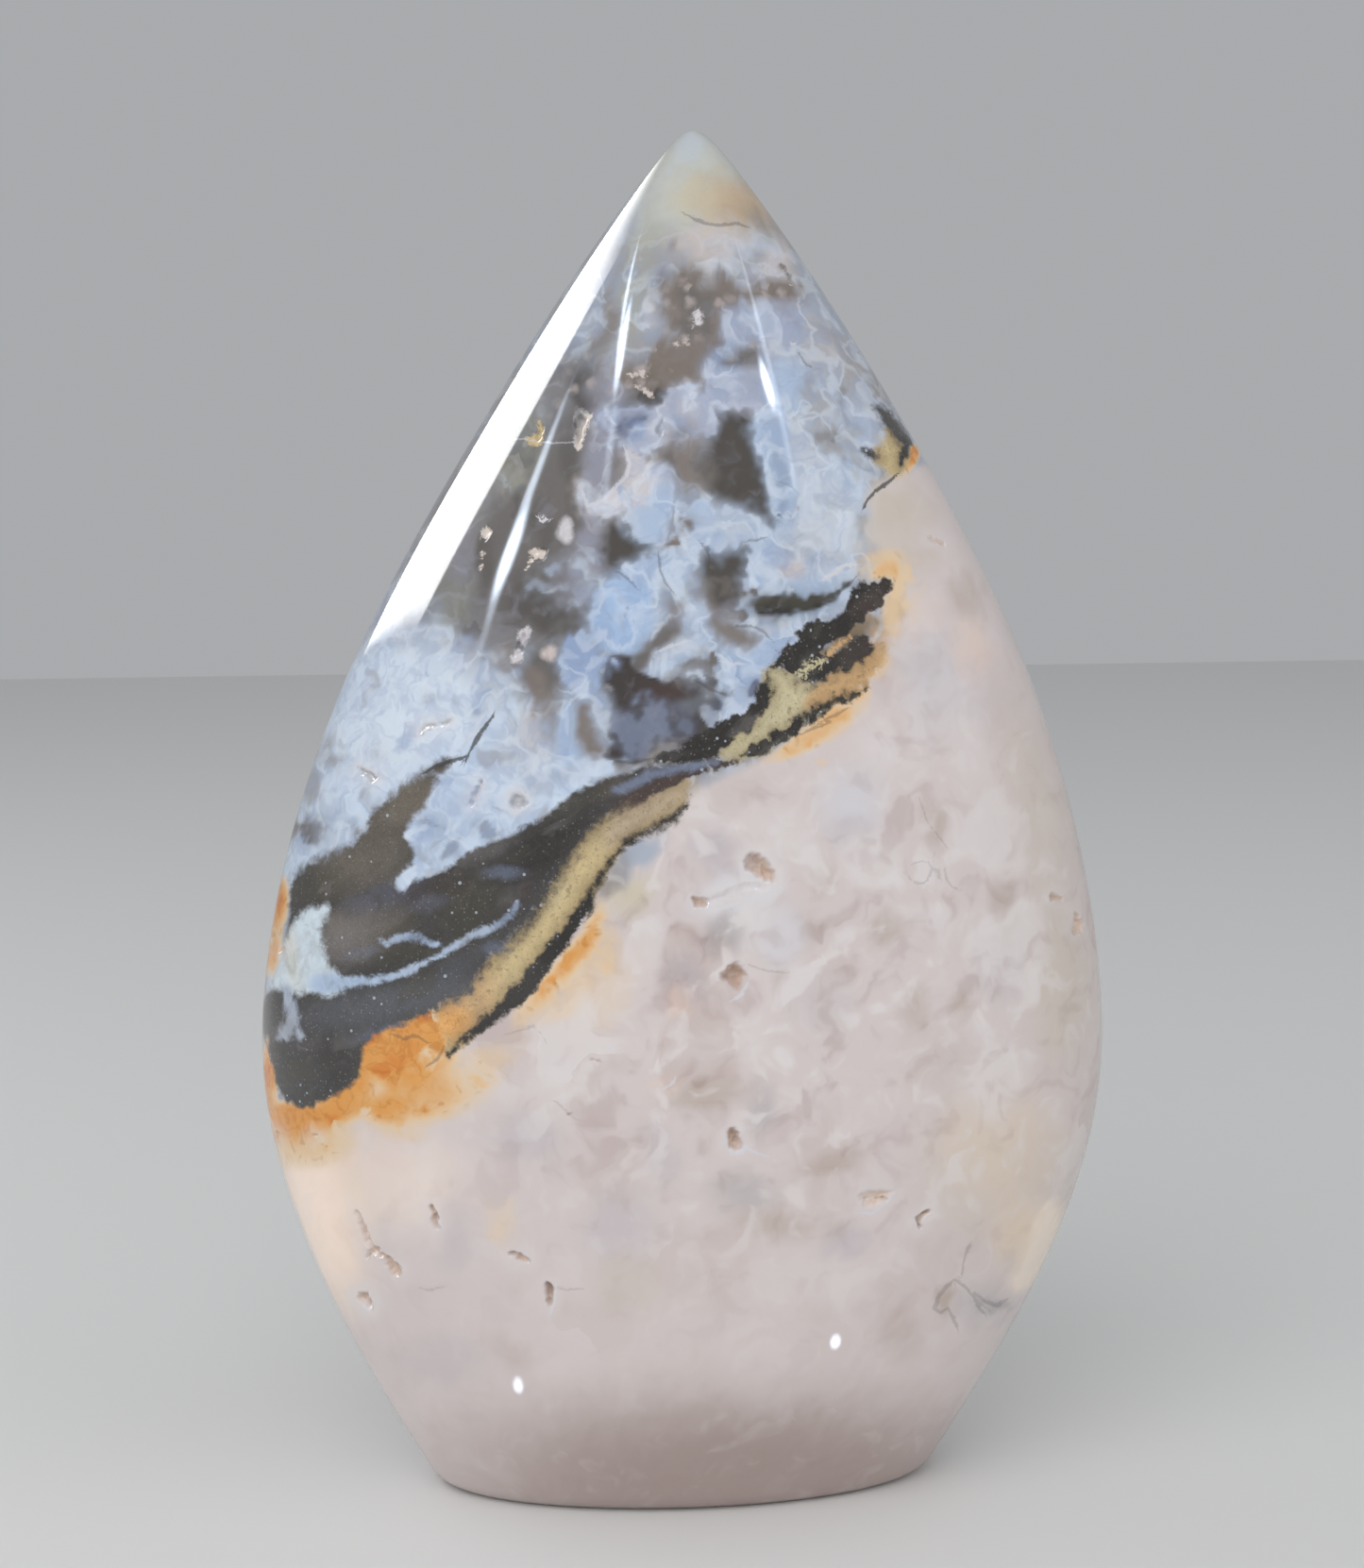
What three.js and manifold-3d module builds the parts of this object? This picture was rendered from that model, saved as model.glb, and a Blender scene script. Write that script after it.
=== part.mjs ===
// A plume agate flame: one polished stone, carved to a pointed flame, that stands on its flat sawn base.
// Natural pits, where crystal-lined hollows in the stone were cut open, break its polished faces.
// Millimetres, +Z up. The origin is the middle of the base, and the front face looks towards -Y.
import * as THREE from "three";
import { mergeVertices } from "three/addons/utils/BufferGeometryUtils.js";
import Module from "manifold-3d";

const wasm = await Module();
wasm.setup();

// Driving dimensions
const flameHeight = 161.3;
const tipLean = 3.05; // how far the tip stands to +X of the middle of the base
const tipRounding = 3.2; // how far below a sharp cone's point the rounded tip ends
const baseRounding = 2; // radius of the eased edge round the base
const ringCount = 50;
const sideCount = 64;

// Sections from the base up. Each is an ellipse, and lean moves its middle to +X.
const sections = [
  { height: 0, halfWidth: 29.6, halfDepth: 14.2, lean: 0 },
  { height: 14, halfWidth: 38.0, halfDepth: 19.8, lean: 0.3 },
  { height: 30, halfWidth: 45.7, halfDepth: 22.4, lean: 0.8 },
  { height: 48, halfWidth: 50.4, halfDepth: 23.0, lean: 0.9 },
  { height: 66, halfWidth: 49.7, halfDepth: 22.4, lean: 1.0 },
  { height: 86, halfWidth: 45.0, halfDepth: 21.0, lean: 1.4 },
  { height: 106, halfWidth: 36.9, halfDepth: 18.6, lean: 2.0 },
  { height: 126, halfWidth: 25.8, halfDepth: 14.6, lean: 2.5 },
  { height: 146, halfWidth: 13.0, halfDepth: 8.2, lean: 2.8 },
  { height: flameHeight, halfWidth: 0, halfDepth: 0, lean: tipLean },
];

// Pits in a face: x and z of the mouth's middle, its length and width, and how deep it goes.
// turn is the long way's angle in degrees, counted from the horizontal towards the tip.
const frontPits = [
  { x: 5, z: 64.5, length: 3.8, width: 3.4, depth: 2, turn: 70 },
  { x: 8.5, z: 76.5, length: 4.8, width: 3.4, depth: 2.2, turn: 60 },
  { x: 4.5, z: 74, length: 6, width: 1.8, depth: 0.9, turn: 30 },
  { x: 1, z: 73.5, length: 2.2, width: 1.6, depth: 1.1, turn: 150 },
  { x: 5, z: 46.5, length: 3.2, width: 1.8, depth: 1.8, turn: 105 },
  { x: 21, z: 38.5, length: 4.4, width: 2, depth: 0.8, turn: 15 },
  { x: 26.5, z: 36, length: 2.4, width: 1.3, depth: 1, turn: 50 },
  { x: 44, z: 71.5, length: 1.8, width: 1.5, depth: 0.9, turn: 0 },
  { x: 46.5, z: 68, length: 2.8, width: 1.8, depth: 0.9, turn: 80 },
  { x: -37.5, z: 34, length: 4.4, width: 1.2, depth: 1.2, turn: 105 },
  { x: -34.5, z: 30.5, length: 4, width: 1.4, depth: 1.4, turn: 132 },
  { x: -29, z: 37, length: 3, width: 1.1, depth: 1.5, turn: 98 },
  { x: -37.5, z: 25.5, length: 2.3, width: 1.6, depth: 1.6, turn: 110 },
  { x: -19.5, z: 33, length: 2.2, width: 1.2, depth: 1.2, turn: 160 },
  { x: -16, z: 28.5, length: 3.9, width: 1.5, depth: 1.8, turn: 95 },
  { x: -11, z: 126, length: 4.2, width: 1.8, depth: 1, turn: 80 },
  { x: -16, z: 126, length: 3.2, width: 1.3, depth: 0.8, turn: 75 },
  { x: -2, z: 126, length: 2.4, width: 1.2, depth: 0.8, turn: 85 },
  { x: -16, z: 112.5, length: 2, width: 1.7, depth: 0.8, turn: 20 },
  { x: -22, z: 114.5, length: 1.9, width: 1.5, depth: 0.8, turn: 60 },
  { x: -18, z: 102.5, length: 3.8, width: 1.6, depth: 0.9, turn: 70 },
  { x: -23.5, z: 85.5, length: 2.4, width: 1.6, depth: 1, turn: 60 },
  { x: -18.5, z: 84.5, length: 2.4, width: 2.3, depth: 1.1, turn: 0 },
  { x: -36, z: 87, length: 2.3, width: 1.3, depth: 0.8, turn: 155 },
];
const backPits = [
  { x: -12, z: 52, length: 4.2, width: 2.6, depth: 1.8, turn: 35 },
  { x: -7, z: 48, length: 2.4, width: 1.4, depth: 1.1, turn: 110 },
  { x: 22, z: 33, length: 3.4, width: 1.6, depth: 1.4, turn: 80 },
  { x: 30, z: 58, length: 2.2, width: 1.8, depth: 1, turn: 0 },
  { x: -28, z: 74, length: 3, width: 1.5, depth: 1.2, turn: 125 },
  { x: 10, z: 108, length: 2.8, width: 2, depth: 1, turn: 45 },
  { x: -6, z: 92, length: 2.2, width: 1.4, depth: 0.9, turn: 150 },
];

// A smooth curve through points with rising x, whose bend changes evenly and is zero at both ends.
function naturalSpline(xs, ys) {
  const n = xs.length;
  const bends = new Array(n).fill(0);
  const carry = new Array(n).fill(0);
  const right = new Array(n).fill(0);
  for (let i = 1; i < n - 1; i++) {
    const before = xs[i] - xs[i - 1];
    const after = xs[i + 1] - xs[i];
    const pivot = 2 * (before + after) - before * carry[i - 1];
    const change = (ys[i + 1] - ys[i]) / after - (ys[i] - ys[i - 1]) / before;
    carry[i] = after / pivot;
    right[i] = (6 * change - before * right[i - 1]) / pivot;
  }
  for (let i = n - 2; i > 0; i--) bends[i] = right[i] - carry[i] * bends[i + 1];
  return (x) => {
    let i = 0;
    while (i < n - 2 && x > xs[i + 1]) i++;
    const span = xs[i + 1] - xs[i];
    const a = (xs[i + 1] - x) / span;
    const b = (x - xs[i]) / span;
    const curve = ((a ** 3 - a) * bends[i] + (b ** 3 - b) * bends[i + 1]) * (span ** 2 / 6);
    return a * ys[i] + b * ys[i + 1] + curve;
  };
}

// The way down from the tip. It runs like a square root at the very top, which rounds the point off.
function wayDown(height) {
  const drop = Math.max(flameHeight - height, 0) + tipRounding;
  return Math.sqrt(drop ** 2 - tipRounding ** 2);
}

const fromTip = [...sections].reverse();
const splineOf = (key) =>
  naturalSpline(
    fromTip.map((s) => wayDown(s.height)),
    fromTip.map((s) => s[key]),
  );
const halfWidthAt = splineOf("halfWidth");
const halfDepthAt = splineOf("halfDepth");
const leanAt = splineOf("lean");

// The stone's section at a height, drawn in where the edge round the base is eased.
function sectionAt(height) {
  const way = wayDown(height);
  const short = Math.max(baseRounding - height, 0);
  const inset = baseRounding - Math.sqrt(baseRounding ** 2 - short ** 2);
  return {
    halfWidth: Math.max(halfWidthAt(way) - inset, 0),
    halfDepth: Math.max(halfDepthAt(way) - inset, 0),
    lean: leanAt(way),
  };
}

function asSolid(geometry) {
  geometry.deleteAttribute("normal");
  geometry.deleteAttribute("uv");
  const merged = mergeVertices(geometry, 1e-4);
  return new wasm.Manifold(
    new wasm.Mesh({
      numProp: 3,
      vertProperties: merged.attributes.position.array,
      triVerts: new Uint32Array(merged.index.array),
    }),
  );
}

function asGeometry(solid) {
  const { vertProperties, triVerts } = solid.getMesh();
  const geometry = new THREE.BufferGeometry();
  geometry.setAttribute("position", new THREE.BufferAttribute(vertProperties, 3));
  geometry.setIndex(new THREE.BufferAttribute(triVerts, 1));
  const faceted = geometry.toNonIndexed();
  faceted.computeVertexNormals();
  return faceted;
}

// The flame is turned to its half width, then flattened to its half depth and leaned, height by height.
function makeFlame() {
  const profile = [new THREE.Vector2(0, 0)];
  const easedHeights = [0, 0.1, 0.4, 1];
  for (const share of easedHeights) {
    const height = share * baseRounding;
    profile.push(new THREE.Vector2(sectionAt(height).halfWidth, height));
  }
  for (let i = 1; i < ringCount; i++) {
    const up = 1 - (1 - i / ringCount) ** 1.35; // rings lie closer together towards the tip
    const height = baseRounding + (flameHeight - baseRounding) * up;
    profile.push(new THREE.Vector2(sectionAt(height).halfWidth, height));
  }
  profile.push(new THREE.Vector2(0, flameHeight));
  const geometry = new THREE.LatheGeometry(profile, sideCount);
  const places = geometry.attributes.position;
  for (let i = 0; i < places.count; i++) {
    const height = places.getY(i);
    const { halfWidth, halfDepth, lean } = sectionAt(height);
    const flattening = halfWidth > 0 ? halfDepth / halfWidth : 1;
    places.setXYZ(i, places.getX(i) + lean, -places.getZ(i) * flattening, height);
  }
  return asSolid(geometry);
}

// The point of a face at x and z, with the way out of the stone there.
// side is -1 for the front face and 1 for the back.
function pointOnFace(x, z, side) {
  const { halfWidth, halfDepth, lean } = sectionAt(z);
  const across = (x - lean) / halfWidth;
  const y = side * halfDepth * Math.sqrt(1 - across ** 2);
  const step = 0.5;
  const above = sectionAt(z + step);
  const yAbove = side * above.halfDepth * Math.sqrt(1 - ((x - above.lean) / above.halfWidth) ** 2);
  const outward = new THREE.Vector3(
    across / halfWidth,
    y / halfDepth ** 2,
    (-y / halfDepth ** 2) * ((yAbove - y) / step),
  ).normalize();
  return { point: new THREE.Vector3(x, y, z), outward };
}

// A hollow with flat crystal faces, sunk along the way into the stone. Each has its own uneven form.
function makePit({ x, z, length, width, depth, turn }, side) {
  const geometry = new THREE.IcosahedronGeometry(1, 1);
  const places = geometry.attributes.position;
  const lump = new THREE.Vector3();
  for (let i = 0; i < places.count; i++) {
    lump.fromBufferAttribute(places, i);
    const uneven = 1 + 0.16 * Math.sin(3.1 * lump.x + x) * Math.cos(2.7 * lump.y + z);
    places.setXYZ(
      i,
      (lump.x * uneven * length) / 2,
      (lump.y * uneven * width) / 2,
      lump.z * uneven * depth,
    );
  }
  const { point, outward } = pointOnFace(x, z, side);
  const upFace = new THREE.Vector3(0, 0, 1).projectOnPlane(outward).normalize();
  const alongFace = new THREE.Vector3().crossVectors(upFace, outward).multiplyScalar(-side);
  const angle = THREE.MathUtils.degToRad(turn);
  const long = alongFace
    .clone()
    .multiplyScalar(Math.cos(angle))
    .addScaledVector(upFace, Math.sin(angle));
  const wide = new THREE.Vector3().crossVectors(outward, long);
  geometry.applyMatrix4(new THREE.Matrix4().makeBasis(long, wide, outward).setPosition(point));
  return asSolid(geometry);
}

let flame = makeFlame();
for (const pit of frontPits) flame = flame.subtract(makePit(pit, -1));
for (const pit of backPits) flame = flame.subtract(makePit(pit, 1));

const polishedAgate = new THREE.MeshStandardMaterial({
  color: 0xc9c1be,
  roughness: 0.12,
  metalness: 0,
});
const stone = new THREE.Mesh(asGeometry(flame), polishedAgate);
stone.name = "agate_flame";

const carving = new THREE.Group();
carving.add(stone);
export default carving;
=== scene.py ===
import math
import bmesh
import bpy
import numpy as np
from mathutils import Matrix, Vector, noise


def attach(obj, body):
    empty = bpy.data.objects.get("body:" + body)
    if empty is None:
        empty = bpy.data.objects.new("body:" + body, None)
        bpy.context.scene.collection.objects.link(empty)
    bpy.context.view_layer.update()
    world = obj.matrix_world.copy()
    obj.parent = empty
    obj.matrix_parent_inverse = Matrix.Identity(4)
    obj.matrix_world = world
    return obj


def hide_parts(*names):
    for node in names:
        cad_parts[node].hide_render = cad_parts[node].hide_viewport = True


# A flame carved from plume agate, polished all over, standing on its flat base.
# Everything is worked out in millimetres and scaled to metres where it meets Blender.
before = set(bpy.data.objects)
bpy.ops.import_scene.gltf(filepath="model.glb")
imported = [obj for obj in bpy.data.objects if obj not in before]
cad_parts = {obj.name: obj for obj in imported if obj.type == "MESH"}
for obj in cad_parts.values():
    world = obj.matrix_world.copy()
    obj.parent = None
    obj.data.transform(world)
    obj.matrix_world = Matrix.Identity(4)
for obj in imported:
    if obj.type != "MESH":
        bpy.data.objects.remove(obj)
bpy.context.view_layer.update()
mm = 0.001
print("frame loaded:", list(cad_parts))

# The camera stands where the photograph was taken from
photoCamera = {
    "photoSize": (1445, 1661),  # pixels
    "focalPixels": 2800,
    "place": (-18.4, -314.4, 113.6),
    "turn": 3.5,  # degrees to the right of straight ahead
    "tilt": 5.28,  # degrees down
    "roll": 0.65,
    "sensor": 36,  # along the photograph's long side
}


def cameraAxes():
    turn, tilt, roll = (math.radians(photoCamera[k]) for k in ("turn", "tilt", "roll"))
    forward = np.array([math.sin(turn) * math.cos(tilt), math.cos(turn) * math.cos(tilt), -math.sin(tilt)])
    level = np.array([math.cos(turn), -math.sin(turn), 0.0])
    upright = np.cross(level, forward)
    right = level * math.cos(roll) - upright * math.sin(roll)
    up = level * math.sin(roll) + upright * math.cos(roll)
    return right, up, forward


def placeCamera():
    right, up, forward = cameraAxes()
    camera = bpy.data.objects.new("photoCamera", bpy.data.cameras.new("photoCamera"))
    camera.data.sensor_width = photoCamera["sensor"]
    camera.data.lens = photoCamera["sensor"] * photoCamera["focalPixels"] / max(photoCamera["photoSize"])
    camera.data.clip_start = 0.01
    turned = Matrix([right, up, -forward]).transposed().to_4x4()
    camera.matrix_world = Matrix.Translation(Vector(photoCamera["place"]) * mm) @ turned
    bpy.context.collection.objects.link(camera)
    bpy.context.scene.camera = camera


def photoPixels(points):
    # where points in millimetres appear in the photograph
    right, up, forward = cameraAxes()
    seen = points - np.array(photoCamera["place"])
    away = seen @ forward
    width, height = photoCamera["photoSize"]
    across = width / 2 + photoCamera["focalPixels"] * (seen @ right) / away
    down = height / 2 - photoCamera["focalPixels"] * (seen @ up) / away
    return np.stack([across, down], axis=1)


placeCamera()
print("camera placed")

# The stone's form: elliptical sections from the base to the tip
agateFlame = {
    "height": 161.3,
    "tipRounding": 3.2,
    "baseRounding": 2.0,
    "sections": [  # height, half width, half depth, lean to the right
        (0, 29.6, 14.2, 0),
        (14, 38.0, 19.8, 0.3),
        (30, 45.7, 22.4, 0.8),
        (48, 50.4, 23.0, 0.9),
        (66, 49.7, 22.4, 1.0),
        (86, 45.0, 21.0, 1.4),
        (106, 36.9, 18.6, 2.0),
        (126, 25.8, 14.6, 2.5),
        (146, 13.0, 8.2, 2.8),
        (161.3, 0, 0, 3.05),
    ],
    "polishLoss": 0.02,  # how far the polished skin lies inside the ground form
    "baseRings": (0.25, 0.5, 0.75, 0.92),  # shares of the base's width
    "bellyHeight": 50,
    "columns": 136,
    "backColumnWeight": 0.5,  # the back has columns half as close as the front
    "rowStep": 1.15,  # above the belly
    "lowRowStep": 1.4,
    "plainHeight": 30,  # below this the rows lie further apart
    "tipReach": 6,  # the rows draw together over this height below the tip
    "tipRows": 20,
    "fineHeight": 132,  # above this the columns lie close enough
}


def naturalSpline(knots, values):
    knots, values = np.array(knots, float), np.array(values, float)
    count, gaps = len(knots), np.diff(knots)
    system, right = np.eye(count), np.zeros(count)
    for i in range(1, count - 1):
        system[i, i - 1 : i + 2] = gaps[i - 1], 2 * (gaps[i - 1] + gaps[i]), gaps[i]
        right[i] = 6 * ((values[i + 1] - values[i]) / gaps[i] - (values[i] - values[i - 1]) / gaps[i - 1])
    bends = np.linalg.solve(system, right)

    def at(x):
        i = np.clip(np.searchsorted(knots, x) - 1, 0, count - 2)
        a, b = (knots[i + 1] - x) / gaps[i], (x - knots[i]) / gaps[i]
        curve = ((a**3 - a) * bends[i] + (b**3 - b) * bends[i + 1]) * gaps[i] ** 2 / 6
        return a * values[i] + b * values[i + 1] + curve

    return at


def wayDown(height):
    drop = np.maximum(agateFlame["height"] - height, 0) + agateFlame["tipRounding"]
    return np.sqrt(drop**2 - agateFlame["tipRounding"] ** 2)


fromTip = agateFlame["sections"][::-1]
tipWays = [float(wayDown(section[0])) for section in fromTip]
halfWidthAt = naturalSpline(tipWays, [section[1] for section in fromTip])
halfDepthAt = naturalSpline(tipWays, [section[2] for section in fromTip])
leanAt = naturalSpline(tipWays, [section[3] for section in fromTip])


def sectionAt(height):
    height = np.asarray(height, float)
    way, r = wayDown(height), agateFlame["baseRounding"]
    inset = r - np.sqrt(r**2 - np.maximum(r - height, 0) ** 2) + agateFlame["polishLoss"]
    halfWidth = np.maximum(halfWidthAt(way) - inset, 0.01)
    halfDepth = np.maximum(halfDepthAt(way) - inset, 0.01)
    return halfWidth, halfDepth, leanAt(way)


def columnAngles():
    # columns are spaced evenly along the belly's rim, closer on the front
    fine = np.linspace(0, 2 * math.pi, 4001)
    halfWidth, halfDepth, _ = sectionAt(agateFlame["bellyHeight"])
    steps = np.hypot(halfWidth * np.sin(fine), halfDepth * np.cos(fine))
    frontShare = np.clip(0.5 - np.sin(fine) * 3, 0, 1)
    steps = steps * (agateFlame["backColumnWeight"] + (1 - agateFlame["backColumnWeight"]) * frontShare)
    run = np.concatenate([[0], np.cumsum((steps[1:] + steps[:-1]) / 2)])
    return np.interp(np.linspace(0, run[-1], agateFlame["columns"] + 1)[:-1], run, fine)


def rowHeights():
    r, top, reach = agateFlame["baseRounding"], agateFlame["height"], agateFlame["tipReach"]
    eased = r * (1 - np.cos(np.radians([0, 18, 36, 54, 72, 90])))
    low = np.arange(r, agateFlame["plainHeight"], agateFlame["lowRowStep"])[1:]
    body = np.arange(agateFlame["plainHeight"], top - reach, agateFlame["rowStep"])
    tip = top - reach * (1 - np.linspace(0, 1, agateFlame["tipRows"])) ** 1.6
    return np.concatenate([eased, low, body, tip[:-1]])


def ellipseRing(height, angles, share=1.0):
    halfWidth, halfDepth, lean = sectionAt(height)
    ring = np.empty((len(angles), 3))
    ring[:, 0] = lean + halfWidth * np.cos(angles) * share
    ring[:, 1] = halfDepth * np.sin(angles) * share
    ring[:, 2] = height
    return ring


def buildSkin():
    angles, heights = columnAngles(), rowHeights()
    rings = [ellipseRing(0, angles, share) for share in agateFlame["baseRings"]]
    rings += [ellipseRing(height, angles) for height in heights]
    n = len(angles)
    tip = [float(leanAt(np.array(0.0))), 0, agateFlame["height"] - agateFlame["polishLoss"]]
    points = np.concatenate([[[0, 0, 0]], *rings, [tip]])
    faces = [(0, 1 + (j + 1) % n, 1 + j) for j in range(n)]
    for i in range(len(rings) - 1):
        low, high = 1 + i * n, 1 + (i + 1) * n
        faces += [(low + j, low + (j + 1) % n, high + (j + 1) % n, high + j) for j in range(n)]
    last, top = 1 + (len(rings) - 1) * n, len(points) - 1
    faces += [(last + j, last + (j + 1) % n, top) for j in range(n)]
    skin = bpy.data.meshes.new("agateFlameSkin")
    skin.from_pydata(points.tolist(), [], faces)
    return skin


# Outlines and paths on the front face are read off the photograph, in its pixels.
# One pixel is about 0.11 mm on the stone.
def roundedOutline(outline, passes=2):
    # each pass cuts the corners off at a quarter of the way
    points = np.array(outline, float)
    for _ in range(passes):
        after = np.roll(points, -1, axis=0)
        near, far = points * 0.75 + after * 0.25, points * 0.25 + after * 0.75
        points = np.stack([near, far], axis=1).reshape(-1, 2)
    return points


farOut = -80.0  # what a field holds well away from its shapes


def nearBox(places, corners, margin=70):
    low, high = corners.min(axis=0) - margin, corners.max(axis=0) + margin
    return np.flatnonzero(((places > low) & (places < high)).all(axis=1))


def insideBy(places, outline, passes=2):
    # how far inside a closed outline each place lies, negative outside
    corners = roundedOutline(outline, passes)
    found = np.full(len(places), farOut)
    near = nearBox(places, corners)
    p = places[near]
    nearest, within = np.full(len(p), 1e9), np.zeros(len(p), bool)
    for a, b in zip(corners, np.roll(corners, -1, axis=0)):
        edge = b - a
        along = np.clip(((p - a) @ edge) / (edge @ edge + 1e-9), 0, 1)
        nearest = np.minimum(nearest, ((p - a - along[:, None] * edge) ** 2).sum(axis=1))
        crosses = (a[1] > p[:, 1]) != (b[1] > p[:, 1])
        level = a[0] + (p[:, 1] - a[1]) * edge[0] / (edge[1] if edge[1] else 1e-9)
        within ^= crosses & (p[:, 0] < level)
    found[near] = np.where(within, 1, -1) * np.sqrt(nearest)
    return found


def strokeBy(places, path):
    # how far inside a stroke of changing half width each place lies
    path = np.array(path, float)
    found = np.full(len(places), farOut)
    near = nearBox(places, path[:, :2])
    p, best = places[near], np.full(len(near), farOut)
    for a, b in zip(path[:-1], path[1:]):
        edge = b[:2] - a[:2]
        along = np.clip(((p - a[:2]) @ edge) / (edge @ edge + 1e-9), 0, 1)
        away = np.sqrt(((p - a[:2] - along[:, None] * edge) ** 2).sum(axis=1))
        best = np.maximum(best, a[2] + along * (b[2] - a[2]) - away)
    found[near] = best
    return found


def ringOutline(x, y, long, wide, turn, corners=9, seed=0.0):
    # an uneven oval, turn is counted from the horizontal, upwards
    found = []
    for i in range(corners):
        angle = 2 * math.pi * i / corners
        uneven = 1 + 0.22 * math.sin(2.3 * i + seed) + 0.12 * math.sin(5.1 * i + 2 * seed)
        a, b = long * math.cos(angle) * uneven, wide * math.sin(angle) * uneven
        t = math.radians(turn)
        found.append((x + a * math.cos(t) - b * math.sin(t), y - a * math.sin(t) - b * math.cos(t)))
    return found


def patch(colour, outline, soft=2.5, **look):
    # A patch of one colour. soft is half the width of its edge and feather how broken up that edge is, both
    # in pixels. rim is how light its edge is.
    return {"colour": colour, "outline": outline, "soft": soft, **look}


def stroke(colour, path, soft=2.5, **look):
    # the same along a path, whose points hold its half width too
    return {"colour": colour, "path": path, "soft": soft, **look}


def shapeBy(places, shape):
    if "path" in shape:
        return strokeBy(places, shape["path"])
    return insideBy(places, shape["outline"], shape.get("passes", 2))


# Pits cut open by the grinding. depth is in millimetres, wall is how wide the wall is in pixels.
# A light one is lined with pale crystals, the others show brown stone with painted shade, darker at one
# side: dark is 1 for the right and -1 for the left. halo is how pale the stone is round the pit.
def hole(depth, wall, **form):
    return {"depth": depth, "wall": wall, **form}


pits = {
    "rhomb": hole(1.9, 8, passes=1, outline=[(780, 1016), (793, 1030), (788, 1042), (783, 1053), (770, 1043),
        (759, 1034), (770, 1024)]),
    "cavity": hole(1.8, 10, halo=0.5, outline=[(790, 902), (803, 901), (815, 911), (824, 925), (823, 938),
        (810, 935), (797, 929), (784, 919)]),
    "hollow": hole(0.3, 8, light=True, halo=0.6, path=[(752, 955, 5), (770, 948, 7), (790, 940, 7),
        (812, 940, 5)]),
    "wedge": hole(1.1, 6, passes=1, dark=-1, outline=[(731, 947), (742, 950), (755, 952), (748, 963),
        (738, 963), (731, 957)]),
    "drop": hole(1.6, 7, dark=-1, outline=[(776, 1192), (783, 1197), (789, 1212), (784, 1221), (773, 1219),
        (769, 1210), (770, 1197)]),
    "crater": hole(0.5, 9, outline=[(905, 1262), (935, 1258), (950, 1261), (938, 1272), (925, 1284),
        (912, 1278)]),
    "craterSlit": hole(0.8, 4, path=[(916, 1270, 2.5), (926, 1271, 3.5), (937, 1270, 3)]),
    "twist": hole(1, 3, path=[(984, 1283, 2), (978, 1287, 3), (973, 1292, 4), (975, 1299, 2)]),
    "edgeHigh": hole(0.8, 5, path=[(1116, 950, 5), (1124, 952, 3)]),
    "edgeLow": hole(0.8, 5, path=[(1141, 968, 3), (1143, 978, 6), (1141, 986, 6)]),
    "worm": hole(1.2, 7, path=[(377, 1284, 3), (383, 1298, 5), (388, 1312, 5), (396, 1326, 4),
        (408, 1332, 4), (413, 1339, 6), (419, 1347, 8)]),
    "wormFork": hole(0.8, 5, path=[(399, 1323, 4), (393, 1326, 4), (389, 1332, 2.5)]),
    "slit": hole(1.3, 5, dark=-1, path=[(457, 1279, 2.5), (460, 1290, 4.5), (463, 1301, 3.5)]),
    "ringed": hole(1.3, 7, dark=-1, halo=0.5, outline=ringOutline(387, 1377, 11, 8, -60, seed=1)),
    "shelf": hole(1, 5, path=[(541, 1328, 3), (550, 1331, 5), (559, 1336, 3)]),
    "slot": hole(1.7, 5, passes=1, outline=[(577, 1356), (588, 1362), (584, 1385), (581, 1389), (578, 1378),
        (576, 1366)]),
    "glassyVug": hole(0.8, 5, light=True, halo=0, outline=[(609, 436), (618, 438), (624, 444), (617, 456),
        (615, 470), (610, 472), (608, 462)]),
    "goldVug": hole(0.6, 4, light=True, halo=0, outline=[(571, 446), (576, 450), (575, 464), (568, 470),
        (564, 466), (568, 455)]),
    "rimmedVug": hole(0.7, 4, light=True, outline=ringOutline(699, 453, 11, 4.5, 82, seed=2)),
    "cloudVugLeft": hole(0.8, 4, light=True, path=[(509, 828, 3), (505, 838, 4), (501, 846, 4),
        (499, 852, 3)]),
    "cloudVugRight": hole(0.7, 5, light=True, outline=ringOutline(549, 849, 11, 10, 20, seed=3)),
    "cloudNick": hole(0.5, 4, light=True, path=[(382, 815, 3), (389, 820, 4), (395, 825, 4), (399, 822, 2)]),
    "veilNick": hole(0.4, 4, light=True, path=[(445, 774, 3), (450, 769, 3), (462, 768, 2.5),
        (474, 766, 2.5)]),
    "crystalNest": hole(0.5, 4, light=True, halo=0, outline=ringOutline(515, 564, 9, 6, 70, seed=4)),
    "pinkNest": hole(0.5, 4, light=True, halo=0, outline=ringOutline(571, 587, 11, 7, 10, seed=5)),
    "whiteNest": hole(0.6, 4, light=True, halo=0, outline=ringOutline(551, 682, 15, 6, 70, seed=6)),
    "nickA": hole(0.5, 3, outline=ringOutline(631, 1124, 6, 2.5, -5)),
    "nickB": hole(0.5, 3, outline=ringOutline(603, 1181, 3, 3, 0)),
    "nickC": hole(0.6, 3, outline=ringOutline(333, 1203, 3.5, 3, 0)),
    "nickD": hole(0.5, 3, outline=ringOutline(294, 1202, 2.5, 4, 0)),
    "leftEdgePit": hole(0.5, 4, light=True, outline=ringOutline(299, 1005, 6, 3, 60)),
    "coreRing": hole(0.35, 3, light=True, halo=0, path=[(665, 644, 2.5), (664, 652, 2.5)]),
    "coreDot": hole(0.3, 3, light=True, halo=0, path=[(672, 659, 2), (672, 663, 2)]),
    "farNick": hole(0.4, 4, path=[(986, 570, 3), (1000, 576, 2)]),
}
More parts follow.
